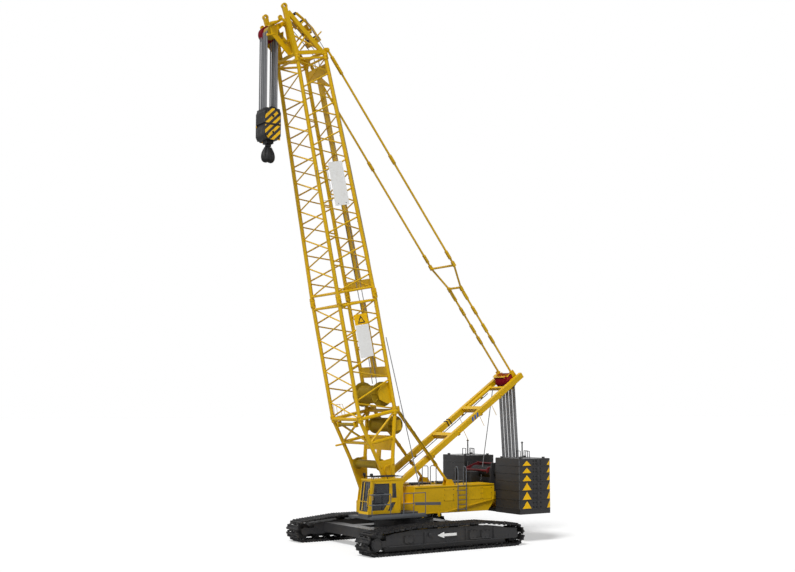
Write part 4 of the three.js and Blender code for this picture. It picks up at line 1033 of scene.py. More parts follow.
# %% Windscreen bars and wipers
pillar = rails([[ahead(0.012, 1.95, 2.0), ahead(0.012, 1.95, 3.33)]], 0.02)
cross = rails([[ahead(0.012, 1.75, 2.42), ahead(0.012, 2.42, 2.42)]], 0.018)
finished(join(pillar, cross), "windscreen_bars", YELLOW, "superstructure")
wiper_arms = rails(
    [
        [ahead(0.03, 2.3, 2.05), ahead(0.035, 2.12, 2.9)],
        [ahead(0.03, 1.85, 3.3), ahead(0.03, 1.85, 2.75)],
    ],
    0.011,
)
blade = rails([[ahead(0.03, 2.12, 2.55), ahead(0.035, 2.12, 3.2)]], 0.014)
finished(join(wiper_arms, blade), "cab_wipers", RUBBER, "superstructure")

# %% Roof guard and lamps
ROOF_FRONT, ROOF_REAR = 3.5, 1.68
GUARD_Z = 3.6
GUARD_Y = (1.66, 2.08, 2.5)
guard_bars = [
    [crane(ROOF_REAR + 0.12 + i * 0.16, y, GUARD_Z) for y in GUARD_Y[::2]]
    for i in range(11)
]
guard_frame = [
    [crane(x, y, GUARD_Z) for x in (ROOF_REAR + 0.02, ROOF_FRONT - 0.05)]
    for y in GUARD_Y
]
guard_feet = [
    [crane(x, y, z) for z in (3.48, GUARD_Z)]
    for x in (1.75, 2.6, 3.4)
    for y in GUARD_Y[::2]
]
finished(
    rails(guard_bars + guard_frame + guard_feet, 0.017),
    "cab_roof_guard",
    DARK_STEEL,
    "superstructure",
)
lamps = []
for x, y in ((3.46, 1.75), (3.46, 2.42)):
    bpy.ops.mesh.primitive_cylinder_add(
        vertices=20, radius=0.075, depth=0.1, location=crane(x, y, 3.7),
        rotation=(0, math.pi / 2, 0),
    )
    lamp_body = settle(bpy.context.object)
    press_in(lamp_body, FORWARD, 0.012, 0.02)
    lamps.append(apply_modifier(lamp_body, "BEVEL", width=0.004, segments=2))
    lamps.append(plate(crane(x - 0.01, y, 3.61), (0.03, 0.03, 0.12)))
finished(join(*lamps), "cab_work_lamps", DARK_STEEL, "superstructure")

# %% [markdown]
# The walkway outside the door has a rail with two bars at knee and waist height. Behind the door
# its posts are bolted to the edge of the platform. Beside the door the rail is a gate that hangs
# on the door, since the door needs that space to open. The gate and the mirror swing with the
# door.

# %% Platform rails and mirror
EDGE = 2.9
RAIL_Z = (2.29, 2.78)
POSTS = (1.9, 1.33, 0.62)
GATE = (3.72, 2.66)
posts = [level(crane, EDGE, (x, 1.68), (x, RAIL_Z[1])) for x in POSTS]
along = [level(crane, EDGE, (POSTS[0], z), (POSTS[-1], z)) for z in RAIL_Z]
platform_rails = rails(posts + along, 0.021)
gate_posts = [level(crane, EDGE, (x, 1.84), (x, RAIL_Z[1])) for x in GATE]
gate_bars = [
    [crane(GATE[1], EDGE, z), crane(GATE[0], EDGE, z), crane(GATE[0], 2.66, z)]
    for z in RAIL_Z
]
gate_arms = [[crane(x, EDGE, z), crane(x, 2.56, z)] for x in (2.78, 3.5) for z in RAIL_Z]
finished(
    rails(gate_posts + gate_bars + gate_arms, 0.021),
    "cab_door_gate",
    GREY,
    "cab_door",
)
kick_plate = plate(crane(2.2, 2.93, 1.74), (3.1, 0.012, 0.13), edge=0.003)
treads = [
    plate(crane(0.75 + i * 0.15, 2.73, 1.694), (0.1, 0.36, 0.012), edge=0.003)
    for i in range(20)
]
finished(
    join(platform_rails, kick_plate, *treads),
    "platform_rails",
    GREY,
    "superstructure",
)
edge_band = plate(crane(2.155, 2.935, 1.645), (3.2, 0.012, 0.085), edge=0.003)
step = plate(crane(0.85, 2.78, 1.5), (0.42, 0.2, 0.03))
step_sides = rails([level(crane, 2.86, (x, 1.6), (x, 1.49)) for x in (0.63, 1.07)], 0.016)
finished(
    join(edge_band, step, step_sides), "platform_edge", PLATFORM_GREY, "superstructure",
)
mirror_arm = rails(
    [[crane(3.44, 2.54, 3.32), crane(3.5, 2.84, 3.32), crane(3.5, 2.84, 3.2)]], 0.012
)
mirror_head = plate(crane(3.5, 2.84, 3.04), (0.04, 0.17, 0.3), edge=0.02)
finished(join(mirror_arm, mirror_head), "cab_mirror", DARK_STEEL, "cab_door")
side_grab = [crane(1.95, y, z) for y, z in ((2.56, 2.0), (2.63, 2.04), (2.63, 2.91), (2.56, 2.95))]
front_grab = [
    crane(front_at(at) + gap, 2.5, z)
    for at, gap, z in ((2.2, 0.01, 2.2), (2.2, 0.08, 2.25), (3.0, 0.08, 3.0), (3.1, 0.01, 3.08))
]
grabs = rails([side_grab, front_grab], 0.016)
finished(grabs, "cab_grab_handles", YELLOW, "superstructure")

# %% Door handle, lock and window seal
HANDLE_BENDS = ((3.42, 2.568, 2.35), (3.42, 2.61, 2.38), (3.4, 2.61, 2.62), (3.4, 2.568, 2.65))
door_handle = rails([[crane(*place) for place in HANDLE_BENDS]], 0.014)
lock = rod(crane(3.42, 2.56, 2.25), crane(3.42, 2.59, 2.25), 0.03, 16, 0.006)
finished(join(door_handle, lock), "door_handle", DARK_STEEL, "cab_door")
door_seal = ring_of(
    level(crane, 2.512, (2.52, 2.5), (2.52, 3.25), (3.42, 3.25), (3.48, 2.02), (2.82, 2.02)), 0.014
)
finished(door_seal, "door_window_seal", RUBBER, "cab_door")

# %% [markdown]
# Inside, the seat has armrests with a joystick on each, and a low console with a screen stands
# ahead of it. They show through the tinted glass only as dark shapes, but an empty cab looks like
# a toy.

# %% Console, armrests and joysticks
console = plate(crane(3.2, 2.08, 2.2), (0.34, 0.5, 0.5), (0, -0.2, 0), 0.03)
screen = panel(crane(3.12, 1.95, 2.62), (0.05, 0.32, 0.24), (-1, 0, 0), 0.02, 0.008)
ARMREST_Y = (1.78, 2.38)
arms = [plate(crane(2.55, y, 2.45), (0.44, 0.09, 0.08), edge=0.025) for y in ARMREST_Y]
sticks = [rod(crane(2.74, y, 2.48), crane(2.78, y, 2.66), 0.018, 12, 0.004) for y in ARMREST_Y]
knobs = [knob(crane(2.785, y, 2.69), 0.038) for y in ARMREST_Y]
finished(
    join(console, screen, *arms, *sticks, *knobs),
    "cab_controls",
    RUBBER,
    "superstructure",
)

# %% [markdown]
# ## Mast
# The mast is a frame of two box legs. At its tip hangs a bank of rope sheaves in a red housing
# under a curved yellow cover. The legs carry pins for slings, clamps for hoses and three slanted
# blue stripes. The sheaves are discs with grooves, so each one is a cylinder whose rim is pushed
# in.

# %% Grooved sheave
def sheave(middle, radius, width=0.085):
    """A rope wheel across the crane with a groove in its rim and a stepped hub."""
    bpy.ops.mesh.primitive_cylinder_add(vertices=40, radius=radius, depth=width, location=(0, 0, 0))
    wheel = settle(bpy.context.object)
    pick_faces(wheel, lambda normal: abs(normal.z) < 0.5)
    bpy.ops.mesh.inset(thickness=width * 0.18, use_boundary=True)
    bpy.ops.transform.resize(value=(0.88, 0.88, 1))
    bpy.ops.object.mode_set(mode="OBJECT")
    for way in SIDES:
        # The slopes of the groove look almost sideways too, so the limit is close to 1.
        pick_faces(wheel, lambda normal: normal.z * way > 0.995)
        bpy.ops.mesh.inset(thickness=radius * 0.14)
        bpy.ops.transform.translate(value=(0, 0, -way * width * 0.16))
        bpy.ops.mesh.inset(thickness=radius * 0.5)
        bpy.ops.transform.translate(value=(0, 0, way * width * 0.16))
        bpy.ops.object.mode_set(mode="OBJECT")
    wheel.data.transform(Matrix.Translation(middle) @ Matrix.Rotation(math.pi / 2, 4, "X"))
    return wheel


# %% Mast sheaves, housing and cover
TIP = 9.33
discs = [sheave(mast(TIP, y, 0.03), 0.4) for y in [-0.3 + 0.12 * i for i in range(8)]]
cheeks = [
    outline_plate(
        level(
            mast, y, (9.0, 0.02), (9.1, -0.2), (9.5, -0.3), (9.62, 0.06), (9.5, 0.32), (9.15, 0.32),
            (9.02, 0.22),
        ),
        0.03,
    )
    for y in (-0.14, 0.62)
]
finished(join(*discs, *cheeks), "mast_sheave_bank", RED, "mast")
cover_line = [(9.16, 0.36), (9.32, 0.4), (9.5, 0.37), (9.66, 0.28)]
cover_parts = []
for low, high in zip(cover_line, cover_line[1:]):
    corners = level(mast, -0.66, low, high) + level(mast, 0.66, high, low)
    cover_parts.append(outline_plate(corners, 0.02))
finished(join(*cover_parts), "mast_sheave_cover", YELLOW, "mast")

# %% Stripes, clamps and sling pins on the legs
LEG_Y = 0.975
STRIPE = ((0, -0.1), (0.11, -0.1), (0.2, 0.1), (0.09, 0.1))
blue_stripes = [
    outline_plate(level(mast, LEG_Y + 0.003, *STRIPE, at=(s, 0)), 0.005)
    for s in (5.62, 5.82, 6.02)
]
finished(join(*blue_stripes), "mast_blue_stripes", BLUE, "mast")
clamps = [
    plate(mast(s, -0.86, 0.0), (0.07, 0.27, 0.33), (0, MAST_ANGLE, 0), 0.01)
    for s in (5.25, 5.45)
]
hoses = rails(
    [level(mast, y, (1.2, -0.2), (4.0, -0.22), (8.4, -0.2)) for y in (0.72, -0.72, 0.68)], 0.022
)
finished(join(*clamps, hoses), "mast_clamps_and_hoses", DARK_STEEL, "mast")
pins = []
for side in SIDES:
    for s in (2.6, 4.6, 6.4, 8.0):
        pins.append(axle(mast, s, -0.04, side * 0.96, side * 1.02, 0.045, 16, 0.008))
        pins.append(plate(mast(s, side * 0.86, -0.18), (0.16, 0.05, 0.12), (0, MAST_ANGLE, 0)))
    for s in (4.9, 6.2, 7.2):
        pins.append(rod(mast(s, side * 0.95, -0.15), mast(s - 0.05, side * 0.95, -0.75), 0.014, 10))
tip_rod = rod(
    mast(9.2, 0.5, 0.0) + Vector((0.12, 0, -0.1)), mast(9.2, 0.5, -0.55), 0.035, 12, 0.006
)
end_caps = [
    plate(mast(9.87, side * 0.86, 0), (0.04, 0.24, 0.3), (0, MAST_ANGLE, 0))
    for side in SIDES
]
finished(join(*pins, tip_rod, *end_caps), "mast_pins_and_brackets", YELLOW, "mast")

# %% [markdown]
# ## Luffing ropes
# A bundle of parallel ropes runs from the mast tip down to the winch and its sheaves on the deck.
# They are always taut, so each is a straight rope of round section, with points at its two ends
# only.

# %% Luffing ropes
ROPE_TOP = crane(-6.85, 0, 8.2)
ROPE_LOW = crane(-7.12, 0, 3.66)


def crossing(piece, name, upper):
    """A rope from the deck at low to a moving body at top."""
    piece.name = name
    piece.data.name = name
    piece.data.materials.append(ROPE)
    select_only(piece)
    bpy.ops.object.shade_smooth()
    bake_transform(piece)
    bpy.ops.object.select_all(action="DESELECT")
    print(name, len(piece.data.polygons), "faces from the deck to the", upper)


BUNDLE = [-0.74 + 0.3 * group + 0.085 * i for group in range(5) for i in range(3)]
lines = [[end + Vector((0, y, 0)) for end in (ROPE_TOP, ROPE_LOW)] for y in BUNDLE]
crossing(rails(lines, 0.031, 1), "luffing_ropes", "mast")
HOIST_TOP, HOIST_LOW = mast(8.35, 0, 0.1), crane(-4.98, 0, 3.03)
crossing(rails([[HOIST_TOP, HOIST_LOW]], 0.024, 1), "mast_hoist_line", "mast")

# %% [markdown]
# ## Boom
# The lattice boom came with the frame. What it lacks are the fittings: collars where its sections
# join, warning boards, the rope that runs up behind it, grooves on its drums, and cables.

# %% Width and depth of the boom
KNUCKLE, SECTION, HEAD = 3.88, 9.9, 22.12


def half_width(s):
    return 1.32 if s <= SECTION else 1.32 + (1.03 - 1.32) * (s - SECTION) / (HEAD - SECTION)


def half_depth(s):
    if s < KNUCKLE:
        return 1.06 * s / KNUCKLE
    return 1.06 if s < SECTION else 1.06 + (0.813 - 1.06) * (s - SECTION) / (HEAD - SECTION)


def chord(s, front, left):
    return boom(front * half_depth(s), left * half_width(s), s)


# %% Pin joints of the sections
def pin_joint(s, front, left):
    """A sleeve with a collar at each end and a pin through it, on one chord."""
    low, high = chord(s - 0.17, front, left), chord(s + 0.17, front, left)
    sleeve = rod(low, high, 0.125, 16, 0.02)
    middle, reach = chord(s, front, left), Vector((0, 0.19, 0))
    pin = rod(middle - reach, middle + reach, 0.055, 14, 0.008)
    collar = rod(low, low.lerp(high, 0.2), 0.14, 16, 0.012)
    top_collar = rod(low.lerp(high, 0.8), high, 0.14, 16, 0.012)
    return [sleeve, pin, collar, top_collar]


joints = [
    part
    for s in (SECTION, KNUCKLE, HEAD - 0.05)
    for f in SIDES
    for l in SIDES
    for part in pin_joint(s, f, l)
]
finished(join(*joints), "boom_pin_joints", YELLOW, "boom")

# %% Warning boards
def board(n0, n1, s0, s1, y):
    return outline_plate(level(boom, y, (n0, s0), (n1, s0), (n1, s1), (n0, s1)), 0.012)


BOARD_Y = half_width(8) + 0.12
white_boards = [
    board(-0.53, 0.29, 14.5, 16.7, half_width(15.4) + 0.12), board(-0.32, 0.44, 6.83, 8.46, BOARD_Y)
]
finished(join(*white_boards), "boom_white_boards", WHITE, "boom")
yellow_board = board(-0.32, 0.44, 8.47, 9.01, BOARD_Y)
finished(yellow_board, "boom_yellow_board", MARKER_YELLOW, "boom")
mark = outline_plate(
    level(boom, half_width(8) + 0.13, (-0.16, 8.55), (0.28, 8.55), (0.06, 8.94)), 0.01
)
inner = outline_plate(
    level(boom, half_width(8) + 0.137, (-0.07, 8.6), (0.19, 8.6), (0.06, 8.83)), 0.01
)
finished(mark, "boom_board_triangle", DARK_STEEL, "boom")
finished(inner, "boom_board_triangle_field", MARKER_YELLOW, "boom")
struts = rails(
    [
        [boom(n, half_width(s), s), boom(n, half_width(s) + 0.12, s)]
        for n in (-0.35, 0.1)
        for s in (14.6, 16.2, 7.2, 8.8)
    ],
    0.02,
)
frame_wire = rails(
    [level(boom, 1.24, (1.0, 16.35), (0.35, 16.3), (0.35, 14.8), (1.0, 14.85), (1.0, 16.35))],
    0.012,
    1,
)
finished(join(struts, frame_wire), "boom_board_brackets", GREY, "boom")

# %% Ropes and cables along the boom
BACK_ROPE = (
    (-1.26, 1.1, 7.6), (-1.2, 1.18, 12), (-1.08, 1.1, 17), (-0.95, 0.95, 22.3), (-0.3, 0.6, 24.1)
)
HOIST_LINE = ((-0.95, 5.3), (-1.05, 9), (-0.95, 16), (-0.86, 22.4), (0.4, 24.15), (1.2, 23.95))
back_rope = rails([[boom(*place) for place in BACK_ROPE]], 0.018, 1)
hoist_lines = rails([level(boom, y, *HOIST_LINE) for y in (-0.18, 0.22)], 0.02, 1)
finished(join(back_rope, hoist_lines), "boom_running_ropes", ROPE, "boom")
LINE_TOP = boom(-1.26, 1.37, 7.6)
LINE_LOW = crane(-0.05, 1.37, 2.96)
deck_line = rails([[LINE_TOP, LINE_LOW]], 0.022, 1)
crossing(deck_line, "boom_to_deck_line", "boom")
CABLE_S = (4.2, 6.0, 8.0, 9.9, 13.0, 17.0, 21.9)
cable = [boom(-half_depth(s) + 0.02, half_width(s) - 0.12, s) for s in CABLE_S]
cables = rails([cable], 0.02, 1)
cable_clips = [
    plate(boom(-half_depth(s) + 0.02, half_width(s) - 0.1, s), (0.05, 0.12, 0.04))
    for s in (4.9, 7.0, 9.2, 11.4, 13.6, 15.8, 18.0, 20.2)
]
finished(join(cables, *cable_clips), "boom_cables", RUBBER, "boom")

# %% Rope grooves on the hoist drums
def drum_middle(node):
    low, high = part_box(node)
    return (low + high) / 2


# The grooves, like the flange ribs below, take the darker ochre, a yellow with painted shade in it.
for node, radius in (("hoist_winch_upper", 0.435), ("hoist_winch_middle", 0.335)):
    grooves = coils(drum_middle(node), radius, 0.84, 0.05)
    finished(grooves, node.replace("hoist", "grooves_of"), PAINTED_SHADE_OCHRE, "boom")

# %% Hubs and ribs on the flanges of the drums
drum_parts = []
for node, flange in (("hoist_winch_upper", 0.64), ("hoist_winch_middle", 0.47)):
    for side in SIDES:
        face = drum_middle(node) + Vector((0, side * 0.92, 0))
        hub_end = face + Vector((0, side * 0.24, 0))
        drum_parts.append(rod(face, hub_end, flange * 0.5, 28, 0.02))
        drum_parts.append(
            rod(hub_end, hub_end + Vector((0, side * 0.05, 0)), flange * 0.3, 24, 0.012)
        )
        for k in range(8):
            a = math.pi * k / 4
            arm = Vector((math.cos(a), 0, math.sin(a)))
            drum_parts.append(rod(face + arm * flange * 0.45, face + arm * flange * 0.93, 0.03, 8))
finished(join(*drum_parts), "winch_flange_ribs", PAINTED_SHADE_OCHRE, "boom")

# %% [markdown]
# ## Boom head
# The head carries the sheaves that the hoist ropes run over. Two ears stand above it for a jib that
# isn't fitted. Behind them a guide of black rollers keeps the ropes off the steel. The sheaves sit
# in a red housing, and each one is a grooved wheel like those on the mast.

# %% Head sheaves and red housing
SHEAVE_S, SHEAVE_N = 23.54, 1.56
HOUSING = ((-0.26, -0.06), (-0.06, -0.24), (0.24, -0.2), (0.32, 0.1), (0.1, 0.34), (-0.2, 0.3))
head_discs = [sheave(boom(SHEAVE_N, y, SHEAVE_S), 0.41) for y in (-0.4, -0.3, -0.2, -0.1)]
housing = [
    outline_plate(level(boom, y, *HOUSING, at=(SHEAVE_N, SHEAVE_S)), 0.02)
    for y in (-0.46, -0.05)
]
finished(join(*head_discs, *housing), "head_sheave_bank", RED, "boom")

# %% Ears, braces and link plates
def tube_ring(place, radius, width, hole):
    """A round eye across the boom with a raised rim and a bore."""
    bpy.ops.mesh.primitive_cylinder_add(vertices=28, radius=radius, depth=width, location=(0, 0, 0))
    eye = settle(bpy.context.object)
    for way in SIDES:
        press_in(eye, (0, 0, way), radius - hole, width * 0.3)
    eye.data.transform(Matrix.Translation(place) @ Matrix.Rotation(math.pi / 2, 4, "X"))
    return apply_modifier(eye, "BEVEL", width=0.01, segments=2, limit_method="ANGLE")


small_ears = [tube_ring(boom(1.35, side * 0.98, 24.1), 0.11, 0.12, 0.05) for side in SIDES]
ear_arms = [
    rod(boom(0.95, side * 0.98, 23.75), boom(1.33, side * 0.98, 24.08), 0.07, 12, 0.01)
    for side in SIDES
]
front_bar = axle(boom, 1.3, 24.0, -0.98, 0.98, 0.07, 16, 0.01)
slotted = panel(boom(1.05, 0, 23.35), (0.05, 0.9, 0.34), FORWARD, 0.06, 0.02)
side_braces = [level(boom, side, (0.813, 22.4), (-0.1, 23.35)) for side in SIDES]
back_braces = [[boom(-0.7, y, 22.35), boom(0.5, 0, 23.6)] for y in (-0.95, 0.95)]
braces = rails(side_braces + back_braces, 0.045)
knob_arm = rod(boom(1.5, 0.55, 23.4), boom(1.95, 0.55, 23.36), 0.03, 12, 0.006)
knob_ball = knob(boom(1.98, 0.55, 23.36), 0.07)
link_plates = [
    plate(boom(1.62, y, 23.92), (0.36, 0.04, 0.14), (0, 0.35, 0), 0.01) for y in (0.62, 0.74)
]
link_plates.append(axle(boom, 1.62, 23.92, 0.58, 0.78, 0.05, 14, 0.008))
finished(
    join(*small_ears, *ear_arms, front_bar, slotted, braces, knob_arm, knob_ball, *link_plates),
    "head_ears_and_braces",
    YELLOW,
    "boom",
)

# %% Rope guide with rollers behind the head
GUIDE = ((0.12, 24.42), (-0.28, 24.05), (-0.66, 23.6), (-0.85, 23.2))
guide_rails = rails([level(boom, y, *GUIDE) for y in (-0.5, 0.5)], 0.07)
guide_arms = [
    rod(boom(n, y, s), boom(n + 0.5, y, s - 0.42), 0.04, 12, 0.006)
    for n, s in GUIDE[1:]
    for y in (-0.5, 0.5)
]
guide_tip = rod(boom(-0.85, 0.5, 23.2), boom(-1.1, 0.6, 23.42), 0.035, 12, 0.006)
guide_box = [
    plate(boom(-0.86, 0, 23.02), (0.42, 0.95, 0.26), (0, 0.75, 0), 0.02),
    plate(boom(-0.5, 0.2, 23.62), (0.07, 0.5, 0.5), (0, 0.75, 0), 0.01),
    plate(boom(-0.12, -0.25, 23.98), (0.07, 0.3, 0.4), (0, 0.75, 0), 0.01),
]
finished(
    join(guide_rails, *guide_arms, guide_tip, *guide_box),
    "head_rope_guide",
    YELLOW,
    "boom",
)
rollers = [axle(boom, n, s, -0.46, 0.46, 0.075, 20) for n, s in GUIDE]
finished(join(*rollers), "head_guide_rollers", RUBBER, "boom")

# %% [markdown]
# ## Hook block
# The block is heavy, so that the empty hook comes down by itself. Its cheeks are painted in black
# and yellow slanted bands, the usual warning for a load that swings. The bands are a pattern in
# the material that counts along a slanted line, 130 mm to a band, so they run over edges without a
# seam.

# %% Hazard bands
def hazard_paint():
    finish, tree, place, shader = new_finish("hazard_banded_enamel")
    axes = add_node(tree, "ShaderNodeSeparateXYZ", {"Vector": place})
    slant = maths(tree, "ADD", axes.outputs["X"], axes.outputs["Z"])
    band = maths(tree, "GREATER_THAN", maths(tree, "FRACT", maths(tree, "DIVIDE", slant, 0.37)))
    dust = ramp(tree, noise(tree, place, 0.25, 4), 0.45, 0.8)
    worn = blend_colours(tree, dust, "#ffc600", "#d9a209")
    looks = {
        "Base Color": blend_colours(tree, band, worn, "#151516"),
        "Roughness": 0.42,
        "Normal": bump(tree, noise(tree, place, 0.05, 1), 0.001),
    }
    feed(tree, shader, looks)
    return finish


HAZARD = hazard_paint()
low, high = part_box("hook_block")
half = (high - low) / 2
BLOCK_X, BLOCK_Z = 8.01, 20.95
CHEEK = (
    (-0.4, -0.93), (0.2, -0.93), (0.42, -0.7), (0.42, 0.2), (0.26, 0.62), (-0.06, 0.64), (-0.4, 0.3)
)
cheeks = [
    outline_plate(level(crane, side * (half.y + 0.014), *CHEEK, at=(BLOCK_X, BLOCK_Z)), 0.028)
    for side in SIDES
]
finished(join(*cheeks), "hook_block_banded_cheeks", HAZARD, "hook_block")
band = [
    plate(crane(BLOCK_X, side * (half.y + 0.03), 20.79), (0.86, 0.02, 0.09), edge=0.004)
    for side in SIDES
]
finished(join(*band), "hook_block_middle_bar", DARK_STEEL, "hook_block")
pins = [
    axle(crane, BLOCK_X, z, -half.y - 0.06, half.y + 0.06, r)
    for z, r in ((21.2, 0.06), (20.4, 0.05))
]
BOLTS = ((-0.3, 0.3), (0.25, 0.52), (-0.32, -0.85), (0.3, -0.7))
block_bolts = bolts(
    level(crane, half.y + 0.028, *BOLTS, at=(BLOCK_X, BLOCK_Z)), (0, 1, 0), 0.06, 0.03
)
block_sheaves = [
    sheave(crane(BLOCK_X, y, 21.35), 0.34)
    for y in [-0.42 + 0.12 * i for i in range(8)]
]
guards_top = [
    plate(crane(BLOCK_X + dx, 0, 21.45), (0.03, 0.9, 0.3), edge=0.008)
    for dx in (-0.4, 0.4)
]
finished(
    join(*pins, block_bolts, *block_sheaves, *guards_top),
    "hook_block_pins",
    DARK_STEEL,
    "hook_block",
)

# %% [markdown]
# The hook is a forged double hook, called a ramshorn. Each horn is a bar that thickens at the
# bottom where it carries the load and thins to its tip. A curve with a radius of its own at every
# point gives that taper in one go, which extruding rings by hand would not.

# %% Ramshorn hook
HORN = (
    (0.0, 19.9, 0.95), (0.0, 19.7, 1.0), (0.02, 19.48, 1.3), (0.05, 19.22, 1.7), (0.15, 19.06, 1.8),
    (0.25, 19.28, 1.4), (0.21, 19.52, 1.0), (0.12, 19.72, 0.6),
)


def horn(side):
    line = bpy.data.curves.new("horn", "CURVE")
    line.dimensions = "3D"
    line.bevel_depth = 0.105
    line.bevel_resolution = 4
    line.use_fill_caps = True
    spline = line.splines.new("NURBS")
    spline.points.add(len(HORN) - 1)
    spline.use_endpoint_u = True
    spline.order_u = 4
    spline.resolution_u = 6
    for point, (x, z, thick) in zip(spline.points, HORN):
        point.co = (*crane(BLOCK_X + side * x, 0, z), 1)
        point.radius = thick
    piece = bpy.data.objects.new("horn", line)
    bpy.context.collection.objects.link(piece)
    select_only(piece)
    bpy.ops.object.convert(target="MESH")
    return bpy.context.object


latches = [
    plate(crane(BLOCK_X + side * 0.15, 0, 19.56), (0.02, 0.09, 0.28), (0, side * 0.55, 0), 0.006)
    for side in SIDES
]
nut = rod(crane(BLOCK_X, 0, 19.74), crane(BLOCK_X, 0, 19.86), 0.16, 8, 0.02)
ramshorn = finished(
    join(horn(1), horn(-1), *latches, nut), "ramshorn_hook", DARK_STEEL, "hook", 60
)
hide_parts("hook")

# %% [markdown]
# The falls of rope between the head and the block lie side by side in two flat bundles. They are
# 30 mm ropes, drawn 76 mm thick so that a bundle reads as a solid grey band from far away.

# %% Hoist rope falls
FALL_TOP, FALL_LOW = 25.487, 21.62
falls = [
    [crane(BLOCK_X + side * 0.29 + dx, y, z) for z in (FALL_TOP, FALL_LOW)]
    for side in SIDES
    for y, dx in [(-0.36 + 0.09 * i, 0.03 * (-1) ** i) for i in range(9)]
]
rope_guard = panel(crane(BLOCK_X, 0, 21.612), (0.68, 0.9, 0.02), UP, 0.05, 0.006)
hoist_falls = finished(
    join(rails(falls, 0.038, 1), rope_guard), "hoist_rope_falls", ROPE, "hook_block"
)
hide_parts("hoist_ropes")

# %% [markdown]
# ## Pendants and backstops
# Pendant bars hang in links, and each link is a pair of plates with two pins. The backstops are
# tubes that stop the boom from falling back. A thin rod runs beside each. It is drawn in the darker
# ochre, the yellow with painted shade in it, and has three thicker joints.

# %% Pendant link plates
def link(place, along):
    """Two plates and a pin at one joint of a pendant, in line with the bar."""
    tilt = -math.atan2(along.z, along.x)
    parts = [
        plate(place + Vector((0, dy, 0)), (0.5, 0.024, 0.12), (0, tilt, 0), 0.008)
        for dy in (-0.065, 0.065)
    ]
    for step in (-0.16, 0.16):
        at = place + along.normalized() * step
        parts.append(rod(at + Vector((0, -0.095, 0)), at + Vector((0, 0.095, 0)), 0.036, 14, 0.006))
    return parts


TOP = crane(5.267, 1.05, 24.863)
SPREAD = crane(-2.443, 1.04, 14.554)
LOW = crane(-3.389, 0.54, 13.246)
END = crane(-6.70, 0.54, 8.86)
links = []
for start, finish_at, shares in ((TOP, SPREAD, (0.05, 0.09, 0.5, 0.96)), (LOW, END, (0.25, 0.6))):
    for share in shares:
        place = start.lerp(finish_at, share)
        for side in SIDES:
            links += link(Vector((place.x, side * place.y, place.z)), finish_at - start)
finished(join(*links), "pendant_links", YELLOW, "pendants")

# %% Positioning rods and pins of the backstops
BACK_TOP = boom(-1.29, 1.11, 3.93)
BACK_FOOT = crane(-2.027, 1.11, 3.06)


def beside(share, y):
    place = BACK_TOP.lerp(BACK_FOOT, share)
    return Vector((place.x, y, place.z))


stays = []
for side in SIDES:
    for share in (0.25, 0.5, 0.75):
        stays.append(rod(beside(share, side * 1.2), beside(share, side * 1.28), 0.03, 12, 0.006))
        stays.append(
            rod(
                beside(share - 0.012, side * 1.11), beside(share + 0.012, side * 1.11), 0.105, 20,
                0.01,
            ),
        )
finished(join(*stays), "backstop_collars", YELLOW, "backstops")
thin_stays = [
    rod(beside(0.06, side * 1.25), beside(0.72, side * 1.25), 0.022, 12, 0.004)
    for side in SIDES
]
thin_joints = [
    rod(beside(t, side * 1.25), beside(t + 0.03, side * 1.25), 0.04, 12, 0.006)
    for side in SIDES
    for t in (0.05, 0.3, 0.7)
]
finished(
    join(*thin_stays, *thin_joints), "backstop_gas_springs", PAINTED_SHADE_OCHRE, "backstops"
)

# %% [markdown]
# ## Foot of the boom
# The taper at the boom's foot holds a guide roller for the ropes, brackets and a pair of thick side
# plates. The side plates have a pressed D shape that stiffens them.

# %% Guide roller, brackets and pressed shapes
# The guide roller takes the darker ochre, a yellow with painted shade in it.
roller = axle(boom, 1.05, 3.62, -0.75, 0.75, 0.085, 24, 0.015)
finished(roller, "boom_guide_roller", PAINTED_SHADE_OCHRE, "boom")
UPRIGHT = math.pi / 2 - BOOM_ANGLE
holders = [
    plate(boom(1.03, y, 3.62), (0.26, 0.05, 0.3), (0, UPRIGHT, 0), 0.01)
    for y in (-0.8, 0.8)
]
finished(join(*holders), "boom_guide_brackets", YELLOW, "boom")


def pressed_d(side):
    y = side * 1.432
    arc = [
        (0.05 + 0.17 * math.cos(a), 1.1 + 0.24 * math.sin(a))
        for a in [math.radians(v) for v in range(-90, 91, 15)]
    ]
    outer = level(boom, y, *[(-0.14, 0.86)] + arc + [(-0.14, 1.34)])
    return rails([[*outer, outer[0], outer[1]]], 0.018, 1)


WIRE = ((1.0, 3.9), (0.96, 4.6), (0.6, 4.56), (0.55, 3.86))
wires = rails([level(boom, y, *WIRE) for y in (-1.2, -0.9)], 0.012, 1)
side_pin = rod(boom(0.66, -1.28, 2.5), boom(1.2, -1.28, 2.53), 0.05, 14, 0.01)
finished(
    join(pressed_d(1), pressed_d(-1), wires, side_pin),
    "boom_foot_pressings",
    YELLOW,
    "boom",
)

# %% [markdown]
# ## Floor, light and camera
# A machine this size is pictured in a pale, even space. A large pale floor takes a soft shadow. The
# world and two distant lamps light the crane from the front, the cab side and above. The background
# is white only to the camera, so that it adds no light of its own.

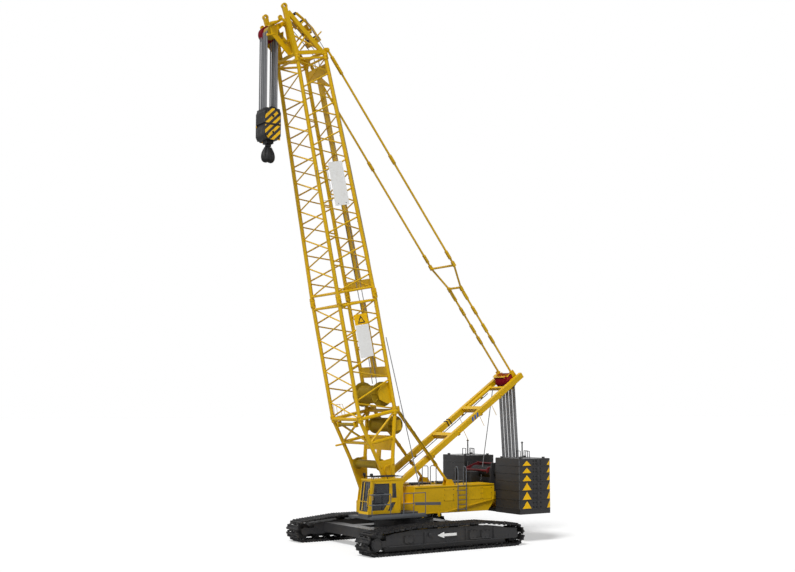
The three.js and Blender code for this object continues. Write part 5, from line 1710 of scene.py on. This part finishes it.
# %% Floor
bpy.ops.mesh.primitive_plane_add(size=900, location=(0, 0, -0.002))
floor = bpy.context.object
floor.name = "studio_floor"
floor_finish, floor_tree, _, floor_shader = new_finish("pale_matt_floor")
floor_ray = floor_tree.nodes.new("ShaderNodeLightPath")
looks = {
    "Base Color": colour("#d8d8d8"),
    "Roughness": 0.95,
    "Emission Strength": spread(floor_tree, floor_ray.outputs["Is Camera Ray"], 0, 0.42),
    "Emission Color": (1, 1, 1, 1),
}
feed(floor_tree, floor_shader, looks)
floor.data.materials.append(floor_finish)
floor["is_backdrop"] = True

# %% World and lamps
world = bpy.data.worlds.new("studio")
bpy.context.scene.world = world
world.use_nodes = True
sky = world.node_tree
backdrop = sky.nodes["Background"]
seen = sky.nodes.new("ShaderNodeLightPath")
either = maths(sky, "MAXIMUM", seen.outputs["Is Camera Ray"], seen.outputs["Is Glossy Ray"])
white_for = maths(sky, "MAXIMUM", either, seen.outputs["Is Transmission Ray"])
feed(sky, backdrop, {"Strength": spread(sky, white_for, 0.11, 1), "Color": (1, 1, 1, 1)})


def sun(name, towards, strength, spread):
    """A distant lamp that shines along towards. A wide spread gives soft shadows."""
    light = bpy.data.lights.new(name, "SUN")
    light.energy = strength
    light.angle = math.radians(spread)
    holder = bpy.data.objects.new(name, light)
    bpy.context.collection.objects.link(holder)
    holder.rotation_euler = Vector(towards).to_track_quat("-Z", "Y").to_euler()
    return holder


sun("key_sun", (-0.62, -0.42, -1.0), 2.75, 20)
sun("cab_side_fill", (-0.1, -1.0, -0.45), 0.22, 40)

# %% Camera
CAMERA_PLACE = crane(33.374, 50.665, 7.168)
CAMERA_TILT, CAMERA_HEADING = math.radians(95.76), math.radians(146.929)
camera_data = bpy.data.cameras.new("camera")
camera_data.sensor_width = 36
camera_data.lens = 52.53
camera_data.clip_end = 600
camera = bpy.data.objects.new("camera", camera_data)
bpy.context.collection.objects.link(camera)
camera.location = CAMERA_PLACE
camera.rotation_euler = (CAMERA_TILT, 0, CAMERA_HEADING)
bpy.context.scene.camera = camera
bpy.context.scene.view_settings.view_transform = "Standard"

# %% [markdown]
# ## Last look at the sizes
# The crane's box is measured over every shown piece, leaving the floor out.

# %% Sizes
low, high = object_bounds()
